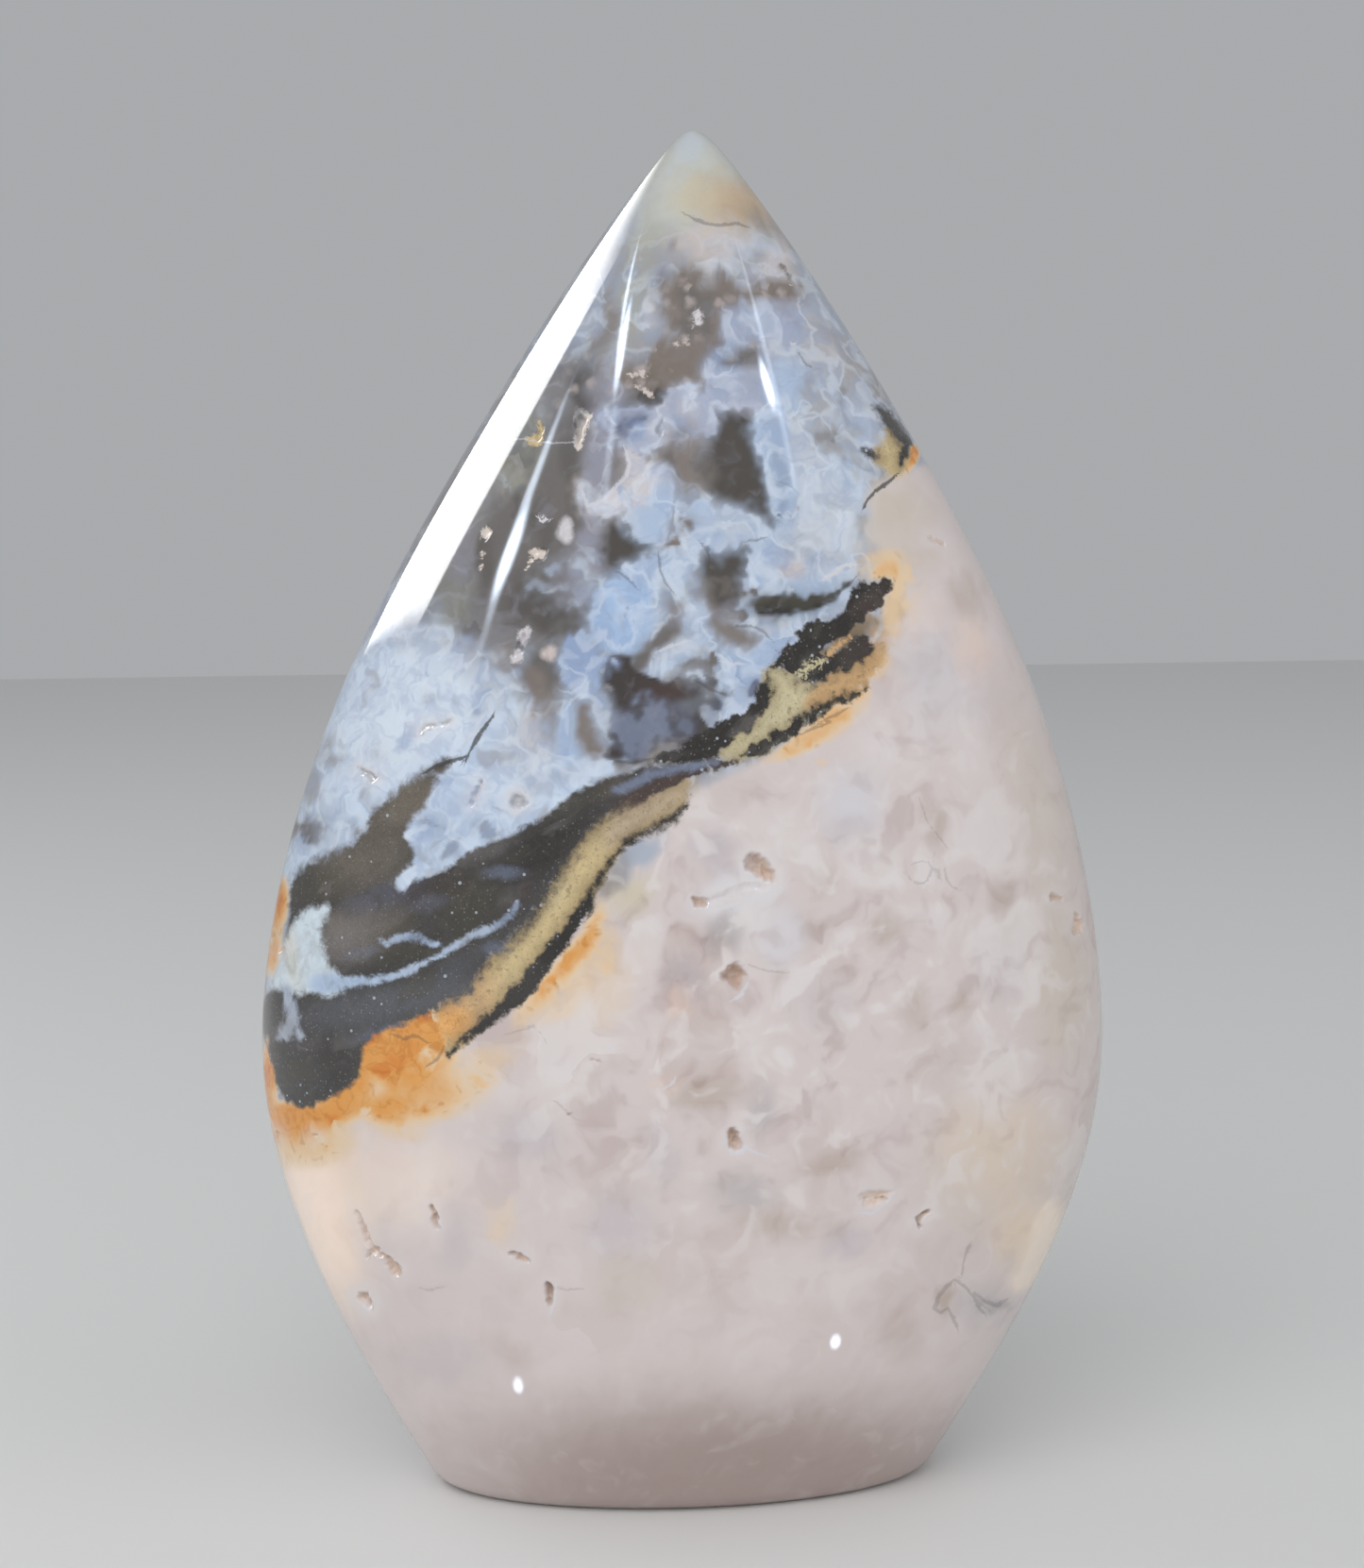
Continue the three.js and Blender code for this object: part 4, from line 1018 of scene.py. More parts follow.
# the rims of the rhomb, cavity, drop, slit, ringed, slot and crater pits, and the cavity's ledge, are
# painted highlights on the edges that catch the light
paleLines = {
    "shellRim": [
        (619, 522, 1.5), (623, 535, 2), (632, 534, 1.8), (643, 526, 1.8), (655, 513, 1.6), (664, 505, 1.8),
        (668, 492, 1.6), (664, 478, 1.2)],
    "cavityRimHighlight": [
        (741, 963, 1.2), (752, 965, 2.2), (765, 962, 2), (785, 955, 1.6), (800, 949, 2), (815, 948, 2.5),
        (829, 939, 1.2)],
    "rhombRimHighlight": [(791, 1041, 1), (786, 1052, 1.8), (778, 1058, 1)],
    "goldCrack": [(524, 468, 0.1), (555, 466, 0.4), (585, 469, 0.4), (608, 469, 0.1)],
    # a painted highlight along the crevice on the right shoulder
    "creviceHighlight": [(871, 613, 1), (882, 606, 1.6), (893, 598, 1.6), (905, 597, 1)],
    "cutRim": [(640, 1110, 0.4), (648, 1112, 0.8), (654, 1110, 0.4)],
    "sheenLine": [(700, 690, 1), (712, 684, 1.5), (726, 680, 1)],
    "sheenLineLow": [(768, 703, 1), (776, 705, 1.6), (786, 704, 0.8)],
    "dropRimHighlight": [(771, 1198, 0.8), (770, 1210, 1.6), (776, 1221, 2), (786, 1221, 1.6), (790, 1212, 0.8)],
    "dropTail": [(788, 1214, 1.4), (800, 1220, 1.2), (818, 1226, 0.8), (830, 1236, 0.5)],
    "slitRimHighlight": [(459, 1283, 0.6), (464, 1291, 1.4), (467, 1300, 1.2)],
    "ringedRimHighlight": [(383, 1388, 0.8), (391, 1386, 1.6), (396, 1377, 1.4)],
    "slotRimHighlight": [(590, 1362, 0.6), (588, 1378, 1.4), (583, 1391, 1.2)],
    "craterRimHighlight": [(912, 1284, 0.8), (924, 1286, 1.4), (938, 1275, 1.2), (948, 1264, 0.6)],
    "cloudRim": [
        (538, 846, 1), (542, 838, 1.6), (552, 837, 1.4), (559, 845, 1.6), (558, 856, 1.4), (549, 861, 1.6),
        (540, 856, 1)],
    "cloudSlitRim": [(512, 828, 1), (508, 838, 1.6), (504, 848, 1.6), (498, 855, 1)],
    "browCrest": [(700, 1156, 0.6), (706, 1152, 1.4), (716, 1146, 1.4), (717, 1139, 0.6)],
    "veilNickRim": [(443, 779, 1), (444, 772, 1.6), (451, 766, 1.4), (462, 764, 1.6), (464, 770, 1)],
    "veilNickRimSide": [(468, 768, 0.8), (474, 768, 1.4), (481, 762, 1.4), (478, 759, 0.8)],
    "cloudNickRim": [(379, 809, 0.8), (388, 812, 1.4), (399, 817, 1.6), (402, 825, 1.8), (396, 829, 1)],
    "cavityLedgeHighlight": [(828, 941, 2), (815, 949, 2.4), (800, 950, 1.6)],
    "needleLight": [(511, 757, 0.8), (501, 775, 1), (490, 790, 0.7)],
}


# How strongly each group of lines shows
drawnLines = [(darkLines, 0.85), (creases, 0.42), (healedLines, 0.28), (faintLines, 0.22)]
litLines = [(paleLines, 0.7)]
milkHeart = (830, 1030, 400, 330, 0)  # the oval where the milk's spots and folds show most

# How the pattern moves off the front's outlines, sizes in millimetres and ways in pixels
patternDrift = {
    "wanderSize": 5.5,
    "wander": 2.5,
    "sideWander": 16,  # more than that towards the sides
    "driftSize": 30,
    "drift": 70,  # on the back
    "shift": (35, -45),  # of the whole pattern on the back
}


def cloudShare(places, x, y, long, wide, turn):
    # 1 in the middle of a soft oval, 0 outside it
    t = math.radians(turn)
    across, down = places[:, 0] - x, places[:, 1] - y
    a = (across * math.cos(t) - down * math.sin(t)) / long
    b = (across * math.sin(t) + down * math.cos(t)) / wide
    return smoothStep(np.hypot(a, b), 1.4, 0.3)


def paint(ground, colour, share):
    return ground + (linear(agateColours[colour]) - ground) * share[:, None]


def patternPlaces(points):
    # The pattern runs through the stone. The back shows it shifted, and towards the sides it wanders more.
    p = patternDrift
    wander = np.stack([smoothNoise(points, p["wanderSize"], seed=s) for s in (1, 2)], axis=1)
    drift = np.stack([smoothNoise(points, p["driftSize"], seed=s) for s in (3, 4)], axis=1)
    behind = smoothStep(points[:, 1], -8, 22)[:, None]
    side = smoothStep(points[:, 1], -5, 10)[:, None]
    places = photoPixels(points) + wander * (p["wander"] + p["sideWander"] * side)
    return places + behind * (drift * p["drift"] + p["shift"])


def paintShapes(places, tone, shapes, lumps):
    # clear-cut shapes, whose edges wander by the lumps
    reach = 2.2  # feather is given for noise of full height, which is rarely met
    for i, shape in enumerate(shapes.values()):
        inside = shapeBy(places, shape)
        near = np.flatnonzero(inside > -40)
        turned = lumps[near] @ (math.cos(i), math.sin(i), 0.5)
        inside, soft = inside[near] + turned * shape.get("feather", 3) * reach, shape["soft"]
        strength = shape.get("strength", 1)
        skirt = smoothStep(inside, -16, 2) * strength * 0.35
        tone[near] = paint(tone[near], shape["colour"], skirt)
        tone[near] = paint(tone[near], shape["colour"], smoothStep(inside, -soft, soft) * strength)
        if "rim" in shape:
            rim = smoothStep(inside, -1, 2) * smoothStep(inside, 9, 4) * shape["rim"]
            tone[near] = paint(tone[near], "coolWhite", rim)
    return tone


def paintClouds(places, milk, mottle, lumps):
    chalcedony = np.tile(linear(agateColours["chalcedony"]), (len(places), 1))
    smoke = paint(np.tile(linear(agateColours["mistGrey"]), (len(places), 1)), "blueMist", mottle)
    tone = smoke + (chalcedony - smoke) * milk[:, None]
    drifting = places + lumps[:, :2] * 12
    for colour, *oval, strength in softClouds:
        tone = paint(tone, colour, strength * cloudShare(drifting, *oval))
    tone = paintShapes(places, tone, plumeZoneClouds, lumps)
    for colour, *oval, strength in zoneShades:
        tone = paint(tone, colour, strength * cloudShare(drifting, *oval))
    return tone


def layShapes(places, shapes, shades=(), roughEdges=(), feather=4):
    # the shapes as one layer: how far inside its edge each place lies, its colour, and how soft and how
    # broken up its edge is
    edge = np.full(len(places), farOut)
    looks, laid = np.zeros((len(places), 5)), np.zeros(len(places))
    for shape in shapes.values():
        inside = shapeBy(places, shape)
        tone = linear(agateColours[shape["colour"]])
        look = np.array([*tone, shape["soft"], shape.get("feather", feather)])
        spread = max(shape["soft"], 6)
        share = smoothStep(inside, -spread * 1.5, spread * 0.5)
        kept = laid * (1 - share)
        total = np.maximum(kept + share, 1e-6)[:, None]
        looks = (looks * kept[:, None] + look * share[:, None]) / total
        laid = np.maximum(laid, kept + share)
        edge = np.maximum(edge, inside)
    looks[laid < 1e-4] = (0.2, 0.2, 0.2, 2, feather)
    for colour, *oval, strength in shades:
        looks[:, :3] = paint(looks[:, :3], colour, strength * cloudShare(places, *oval))
    for *oval, soft, broken in roughEdges:
        looks[:, 3:] += ((soft, broken) - looks[:, 3:]) * cloudShare(places, *oval)[:, None]
    return {"edge": edge, "colour": looks[:, :3], "soft": looks[:, 3], "feather": looks[:, 4]}


def layLines(places, groups):
    # the signed way across the nearest thin line, how wide that line still is there and its strength
    side, width, strength = np.full(len(places), 40.0), np.full(len(places), -40.0), np.zeros(len(places))
    for lines, force in groups:
        for path in lines.values():
            path = np.array(path, float)
            near = nearBox(places, path[:, :2], margin=14)
            p = places[near]
            nearest, nearSide, nearWidth = np.full(len(p), 1e9), np.zeros(len(p)), np.zeros(len(p))
            for a, b in zip(path[:-1], path[1:]):
                edge = b[:2] - a[:2]
                along = np.clip(((p - a[:2]) @ edge) / (edge @ edge), 0, 1)
                away = p - a[:2] - along[:, None] * edge
                far = np.hypot(away[:, 0], away[:, 1])
                left = np.sign(edge[0] * away[:, 1] - edge[1] * away[:, 0])
                closer = far < nearest
                nearest = np.where(closer, far, nearest)
                nearSide = np.where(closer, left * far, nearSide)
                nearWidth = np.where(closer, a[2] + along * (b[2] - a[2]), nearWidth)
            reach = nearWidth - np.maximum(nearest - 7, 0) * 1.5
            better = reach - nearest > width[near] - np.abs(side[near])
            side[near] = np.where(better, nearSide, side[near])
            width[near] = np.where(better, reach, width[near])
            strength[near] = np.where(better, force, strength[near])
    return side, width, strength


def storeField(skin, name, *parts):
    field = skin.attributes.new(name, "FLOAT_VECTOR", "POINT")
    field.data.foreach_set("vector", np.column_stack(parts).astype(np.float32).ravel())


def storeLayer(skin, name, layer):
    storeField(skin, name + "Colour", layer["colour"])
    storeField(skin, name + "Edge", layer["edge"], layer["soft"], layer["feather"])


def storePattern(skin, points, inPit, halo):
    places = patternPlaces(points)
    mottle = smoothStep(smoothNoise(points, 7, seed=6), -0.3, 0.4) * 0.6
    milk = smoothStep(insideBy(places, zoneLine), 8, -8)
    lumps = np.stack([smoothNoise(points, size, seed=9) for size in (2.8, 1.5, 0.8)], axis=1)
    tone = paintClouds(places, milk, mottle, lumps)
    veils = layShapes(places, crossingVeils, veilShades, feather=6)
    mossy = 2 + (2 + 3 * smoothStep(places[:, :1], 690, 800)) * smoothStep(places[:, 1:], 520, 600)
    plumes = layShapes(places + lumps[:, 1:] * mossy, darkPlumes, plumeShades, plumeEdges, feather=7)
    gold = layShapes(places, goldBands, goldShades, feather=8)
    gold["edge"] = gold["edge"] + 9 * smoothStep(plumes["edge"], -14, 0)
    unstained = np.ones(len(points))
    for *oval, strength in rustClouds:
        unstained *= 1 - strength * cloudShare(places, *oval)
    storeField(skin, "tone", tone)
    storeLayer(skin, "veil", veils)
    storeLayer(skin, "plume", plumes)
    storeLayer(skin, "gold", gold)
    storeLayer(skin, "inclusion", layShapes(places, lightInclusions, feather=3))
    storeField(skin, "stains", 1 - unstained, milk, inPit)
    storeField(skin, "darkLine", *layLines(places, drawnLines))
    storeField(skin, "paleLine", *layLines(places, litLines))
    flaky = milk * (0.2 + 0.8 * cloudShare(places, *milkHeart))
    spare = np.zeros(len(points))
    storeField(skin, "halo", halo, flaky, spare)


# How the agate's fine texture looks, with scales per millimetre
agateTexture = {
    "bend": 2.6,  # how far the swirls are bent, in millimetres
    "midScale": 0.42,
    "fineScale": 1.7,
    "grainScale": 6.5,
    "dustScale": 3.2,
    "flow": 30,  # the way the plumes run, degrees up from the horizontal
    "grain": 0.30,
    "spotShade": (0.84, 0.78, 0.75, 1),  # what the milk's clear spots are darkened by
    # the painted shade on the darker side of the milk's folds
    "foldShade": (0.80, 0.74, 0.74, 1),
    "stainShade": (0.80, 0.70, 0.56, 1),
    "polish": 0.05,
    "plumePolish": 0.08,
    "pitRoughness": 0.40,
    "refraction": 1.54,
}
noiseSpread = 3.2  # Blender's noise keeps close to its middle, this spreads it to about -1 to 1


class Recipe:
    # builds the nodes of a material or a lamp, from values and sockets alike
    def __init__(self, owner):
        self.owner = owner
        owner.use_nodes = True
        self.nodes, self.links = owner.node_tree.nodes, owner.node_tree.links
        self.nodes.clear()

    def put(self, socket, value):
        if isinstance(value, bpy.types.NodeSocket):
            self.links.new(value, socket)
        elif value is not None:
            socket.default_value = value

    def add(self, kind, inputs=None, **settings):
        node = self.nodes.new(kind)
        for key, value in settings.items():
            setattr(node, key, value)
        for key, value in (inputs or {}).items():
            self.put(node.inputs[key], value)
        return node

    def sum(self, operation, *values):
        node = self.add("ShaderNodeMath", operation=operation)
        for socket, value in zip(node.inputs, values):
            self.put(socket, value)
        return node.outputs[0]

    def times(self, *values):
        product = values[0]
        for value in values[1:]:
            product = self.sum("MULTIPLY", product, value)
        return product

    def vector(self, operation, a, b=None, scale=None):
        node = self.add("ShaderNodeVectorMath", operation=operation)
        self.put(node.inputs[0], a)
        self.put(node.inputs[1], b)
        self.put(node.inputs[3], scale)
        return node.outputs[0]

    def step(self, value, low, high):
        node = self.add("ShaderNodeMapRange", interpolation_type="SMOOTHSTEP")
        for key, given in (("Value", value), ("From Min", low), ("From Max", high)):
            self.put(node.inputs[key], given)
        return node.outputs[0]

    def mix(self, share, a, b, blend="MIX"):
        node = self.add("ShaderNodeMix", data_type="RGBA", blend_type=blend)
        for index, value in ((0, share), (6, a), (7, b)):
            self.put(node.inputs[index], value)
        return node.outputs[2]

    def noise(self, place, scale, detail=2.0, roughness=0.5):
        # even noise from about -1 to 1
        values = {"Vector": place, "Scale": scale, "Detail": detail, "Roughness": roughness}
        node = self.add("ShaderNodeTexNoise", values)
        return self.sum("MULTIPLY_ADD", node.outputs["Fac"], noiseSpread, -noiseSpread / 2)

    def patches(self, place, scale, seed=0.0, reach=0.62):
        # patches up to 1 lighter or darker than the ground, which fade out from their middles
        shifted = self.vector("ADD", place, (13.1 * seed, 7.7 * seed, 5.3 * seed))
        node = self.add("ShaderNodeTexVoronoi", {"Vector": shifted, "Scale": scale}, feature="F1")
        chance = self.add("ShaderNodeSeparateXYZ", {0: node.outputs["Color"]}).outputs[0]
        tone = self.sum("MULTIPLY_ADD", chance, 2.6, -1.3)
        return self.times(tone, self.step(node.outputs["Distance"], reach, 0.05))

    def bent(self, place, scale, amount):
        # the place, moved about by noise
        node = self.add("ShaderNodeTexNoise", {"Vector": place, "Scale": scale, "Detail": 1.5})
        shift = self.vector("SUBTRACT", node.outputs["Color"], (0.5, 0.5, 0.5))
        return self.vector("ADD", place, self.vector("SCALE", shift, scale=amount * noiseSpread))

    def field(self, name):
        # a field of the skin, as a vector and as its three parts
        node = self.add("ShaderNodeAttribute", attribute_name=name)
        parts = self.add("ShaderNodeSeparateXYZ", {0: node.outputs["Vector"]})
        return node.outputs["Vector"], parts.outputs

    def layerMask(self, name, mid, fine, dust, dustShare=0.15):
        # the colour of a layer of shapes, and 1 inside their edges, which lumps and dust break up
        colour, _ = self.field(name + "Colour")
        _, (edge, soft, feather) = self.field(name + "Edge")
        rough = self.sum("MULTIPLY_ADD", fine, 0.3, self.times(mid, 0.65))
        rough = self.sum("MULTIPLY_ADD", dust, dustShare, rough)
        rough = self.sum("MULTIPLY_ADD", rough, feather, edge)
        return colour, self.step(rough, self.times(soft, -1), soft)

    def lighten(self, colour, noise, amount):
        # brightens and darkens a colour by noise
        return self.vector("SCALE", colour, scale=self.sum("MULTIPLY_ADD", noise, amount, 1.0))

    def finish(self, shader, kind="Material"):
        out = self.add("ShaderNodeOutput" + kind)
        self.links.new(shader.outputs[0], out.inputs[0])
        return self.owner


def rgba(name):
    return (*linear(agateColours[name]), 1)


def milkTexture(r, place, colour, flaky):
    # translucent spots and soft folds in the milky stone. The folds are the stone's own, drawn with a
    # painted highlight on one side and painted shade on the other, as if lit from one direction.
    t = agateTexture
    bent = r.bent(r.bent(place, 0.16, 2.6), 0.6, 0.6)
    beside = r.vector("ADD", bent, (1.1, 0, -1.1))
    folds = r.sum("SUBTRACT", r.noise(bent, 0.14, detail=2.5), r.noise(beside, 0.14, detail=2.5))
    spots = r.patches(bent, 0.08)
    for tone, strength, shade in ((spots, 0.7, t["spotShade"]), (folds, 0.75, t["foldShade"])):
        clear = r.times(r.step(tone, -0.05, -0.5), flaky, strength)
        pale = r.times(r.step(tone, 0.05, 0.5), flaky, strength)
        colour = r.mix(clear, colour, r.mix(1.0, colour, shade, "MULTIPLY"))
        colour = r.mix(pale, colour, rgba("milkWhite"))
    return colour


def zoneTexture(r, place, colour, milk, fine):
    # soft drifts in the smoke and swirls in the light sheets of the plume zone, none in the tip
    light = r.step(r.add("ShaderNodeRGBToBW", {0: colour}).outputs[0], 0.14, 0.42)
    height = r.add("ShaderNodeSeparateXYZ", {0: place}).outputs[2]
    lively = r.step(height, 153, 140)
    light = r.times(light, lively)
    dim = r.sum("SUBTRACT", lively, light)
    bent = r.bent(r.bent(place, 0.25, 1.8), 0.8, 0.5)
    drift = r.noise(bent, 0.3, detail=3, roughness=0.45)
    swirl = r.sum("ABSOLUTE", r.noise(bent, 0.2, detail=1.5, roughness=0.5))
    tone = r.patches(bent, 0.24, 3, reach=0.7)
    zone = r.lighten(colour, drift, 0.05)
    zone = r.mix(r.times(r.step(tone, 0.0, 0.8), light, 0.4), zone, rgba("milkBlue"))
    zone = r.mix(r.times(r.step(tone, -0.1, -0.8), light, 0.45), zone, rgba("deepSky"))
    zone = r.mix(r.times(r.step(r.sum("ABSOLUTE", drift), 0.32, 0.0), light, 0.33), zone, rgba("deepSky"))
    zone = r.mix(r.times(r.step(swirl, 0.24, 0.0), light, 0.4), zone, rgba("milkBlue"))
    zone = r.mix(r.times(r.step(swirl, 0.4, 1.0), light, 0.6), zone, rgba("lavenderSmoke"))
    zone = r.mix(r.times(r.step(drift, 0.1, 0.9), dim, 0.45), zone, rgba("lavenderSmoke"))
    zone = r.mix(r.times(r.step(tone, -0.1, -0.8), dim, 0.4), zone, rgba("darkSmoke"))
    zone = r.mix(r.times(r.step(swirl, 0.5, 1.1), dim, 0.35), zone, rgba("warmSmoke"))
    uneven = r.bent(place, 0.8, 0.35)
    cells = r.add("ShaderNodeTexVoronoi", {"Vector": uneven, "Scale": 0.55}, feature="F1")
    chosen = r.add("ShaderNodeSeparateXYZ", {0: cells.outputs["Color"]}).outputs[0]
    pebble = r.times(r.step(cells.outputs["Distance"], 0.55, 0.12), r.step(chosen, 0.25, 0.7))
    zone = r.mix(r.times(pebble, dim, r.step(height, 124, 131), 0.5), zone, rgba("pinkGrey"))
    zone = r.lighten(zone, fine, 0.03)
    return r.mix(milk, zone, colour)


def stain(r, place, colour, density, mid):
    # iron stain in lobes, from cream through amber to rust as it thickens
    bent = r.bent(r.bent(place, 0.3, 1.6), 1.0, 0.4)
    lobes = r.patches(bent, 0.36, 5)
    uneven = r.times(density, r.sum("MULTIPLY_ADD", lobes, 0.45, 0.95))
    thick = r.times(r.sum("MULTIPLY_ADD", mid, 0.07, uneven), r.step(density, 0.02, 0.3))
    colour = r.mix(r.step(thick, 0.0, 0.6), colour, rgba("stainCream"))
    colour = r.mix(r.step(thick, 0.35, 0.95), colour, rgba("amber"))
    colour = r.mix(r.times(r.step(thick, 0.85, 1.2), 0.85), colour, rgba("rust"))
    fold = r.step(r.sum("ABSOLUTE", r.noise(bent, 0.3, detail=2.5)), 0.16, 0.0)
    fold = r.times(fold, r.step(thick, 0.6, 1.0))
    dim = r.sum("MAXIMUM", r.times(r.step(r.patches(bent, 0.7, 6), -0.1, -0.8), 0.8), r.times(fold, 0.7))
    dim = r.times(dim, r.step(thick, 0.1, 0.6))
    return r.mix(dim, colour, r.mix(1.0, colour, agateTexture["stainShade"], "MULTIPLY"))


def specks(r, place, scale, rarity, size):
    # bright specks, the few of the points that stand highest
    dots = r.add("ShaderNodeTexVoronoi", {"Vector": place, "Scale": scale}, feature="F1")
    chance = r.add("ShaderNodeSeparateXYZ", {0: dots.outputs["Color"]}).outputs[0]
    reach = r.times(r.step(chance, rarity, 1.0), size)
    return r.step(r.sum("SUBTRACT", reach, dots.outputs["Distance"]), -0.02, 0.05)


def plumeTexture(r, place, colour, mid, grain, dust):
    # dark, grainy plumes with brown drifts along their run and tiny bright specks
    t = agateTexture
    angle = math.radians(t["flow"])
    turn = r.add("ShaderNodeVectorRotate", {"Vector": place, "Axis": (0, 1, 0), "Angle": angle})
    along = r.vector("MULTIPLY", turn.outputs[0], (0.4, 1, 1))
    bent = r.bent(r.bent(along, 0.25, 2), 0.9, 0.8)
    drift = r.noise(bent, 0.34, detail=4, roughness=0.55)
    tone = r.patches(bent, 0.3, 8)
    colour = r.lighten(r.lighten(r.lighten(colour, drift, 0.20), grain, t["grain"]), dust, 0.16)
    colour = r.mix(r.times(r.step(tone, 0.1, 0.9), 0.4), colour, rgba("smokeGrey"))
    colour = r.mix(r.times(r.step(mid, 0.0, 1.3), 0.3), colour, rgba("warmSmoke"))
    colour = r.mix(r.times(r.step(tone, -0.1, -0.9), 0.5), colour, rgba("oliveBlack"))
    colour = r.mix(r.times(specks(r, place, 1.1, 0.75, 0.24), 0.6), colour, rgba("paleSky"))
    return r.mix(r.times(specks(r, place, 3.0, 0.5, 0.34), 0.35), colour, rgba("mistGrey"))


def lineMask(r, name, fine):
    # 1 on the thin lines of a field
    _, (side, width, strength) = r.field(name)
    wobbly = r.sum("ABSOLUTE", r.sum("MULTIPLY_ADD", fine, 1.6, side))
    uneven = r.sum("MULTIPLY_ADD", fine, 0.6, width)
    return r.times(r.step(r.sum("SUBTRACT", uneven, wobbly), -1.2, 0.8), strength)


def agateMaterial():
    t = agateTexture
    r = Recipe(bpy.data.materials.new("polished_agate"))
    place = r.vector("SCALE", r.add("ShaderNodeTexCoord").outputs["Object"], scale=1 / mm)
    swirled = r.bent(place, 0.35, t["bend"])
    mid = r.noise(swirled, t["midScale"], detail=4, roughness=0.6)
    fine = r.noise(r.bent(place, 1.2, 0.5), t["fineScale"], detail=3, roughness=0.6)
    grain = r.noise(place, t["grainScale"], detail=2, roughness=0.7)
    dust = r.noise(place, t["dustScale"], detail=3, roughness=0.7)
    _, (stains, milk, inPit) = r.field("stains")
    _, (halo, flaky, _) = r.field("halo")

    colour = milkTexture(r, place, r.field("tone")[0], flaky)
    colour = zoneTexture(r, place, colour, milk, fine)
    colour = stain(r, place, colour, stains, mid)
    gold, mask = r.layerMask("gold", mid, fine, dust, 0.6)
    gold = r.lighten(r.lighten(r.lighten(gold, dust, 0.24), fine, 0.12), mid, 0.16)
    browned = r.step(r.patches(r.bent(place, 0.6, 2), 0.5, 2), 0.0, -0.8)
    _, (plumeEdge, _, _) = r.field("plumeEdge")
    uneven = r.sum("MULTIPLY_ADD", fine, 7.0, r.sum("MULTIPLY_ADD", dust, 6.0, plumeEdge))
    browned = r.sum("MAXIMUM", r.times(browned, 0.4), r.times(r.step(uneven, -14, 4), 0.55))
    gold = r.mix(browned, gold, rgba("goldBrown"))
    dotted = r.step(r.sum("ADD", dust, r.times(fine, 0.6)), -0.2, -0.9)
    gold = r.mix(r.times(dotted, 0.5), gold, rgba("oliveBlack"))
    colour = r.mix(mask, colour, gold)
    plume, dark = r.layerMask("plume", mid, fine, dust)
    colour = r.mix(dark, colour, plumeTexture(r, place, plume, mid, grain, dust))
    veil, mask = r.layerMask("veil", mid, fine, dust)
    mask = r.times(mask, r.sum("MULTIPLY_ADD", mid, 0.2, 0.97))
    colour = r.mix(mask, colour, r.lighten(veil, mid, 0.14))
    colour = r.mix(lineMask(r, "darkLine", fine), colour, rgba("plumeGrey"))
    chip, mask = r.layerMask("inclusion", fine, fine, dust)
    colour = r.mix(mask, colour, r.lighten(chip, fine, 0.12))
    colour = r.mix(lineMask(r, "paleLine", fine), colour, rgba("coolWhite"))
    colour = r.mix(halo, colour, rgba("milkWhite"))
    # the pits' brown, partly the stone's own and partly painted shade towards one side
    crystal = r.lighten(rgba("pitBrown")[:3], fine, 0.08)
    colour = r.mix(r.times(r.step(inPit, 0.2, 1.0), 0.8), colour, crystal)

    rough = r.sum("MULTIPLY_ADD", dark, t["plumePolish"] - t["polish"], t["polish"])
    rough = r.sum("MULTIPLY_ADD", r.step(inPit, 0.2, 0.8), t["pitRoughness"], rough)
    look = {"Base Color": colour, "Roughness": rough, "IOR": t["refraction"]}
    return r.finish(r.add("ShaderNodeBsdfPrincipled", look))


skin = buildSkin()
addBackPits()
refine(skin)
smooth = readPoints(skin)
backOnSkin(smooth)
inPit, halo = sinkPits(skin)
storePattern(skin, smooth, inPit, halo)
skin.shade_smooth()
skin.materials.append(agateMaterial())
stone = bpy.data.objects.new("agate_flame_stone", skin)
bpy.context.collection.objects.link(stone)
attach(stone, "root")
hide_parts("agate_flame")
print("stone ground, patterned and polished:", len(skin.vertices), "points")

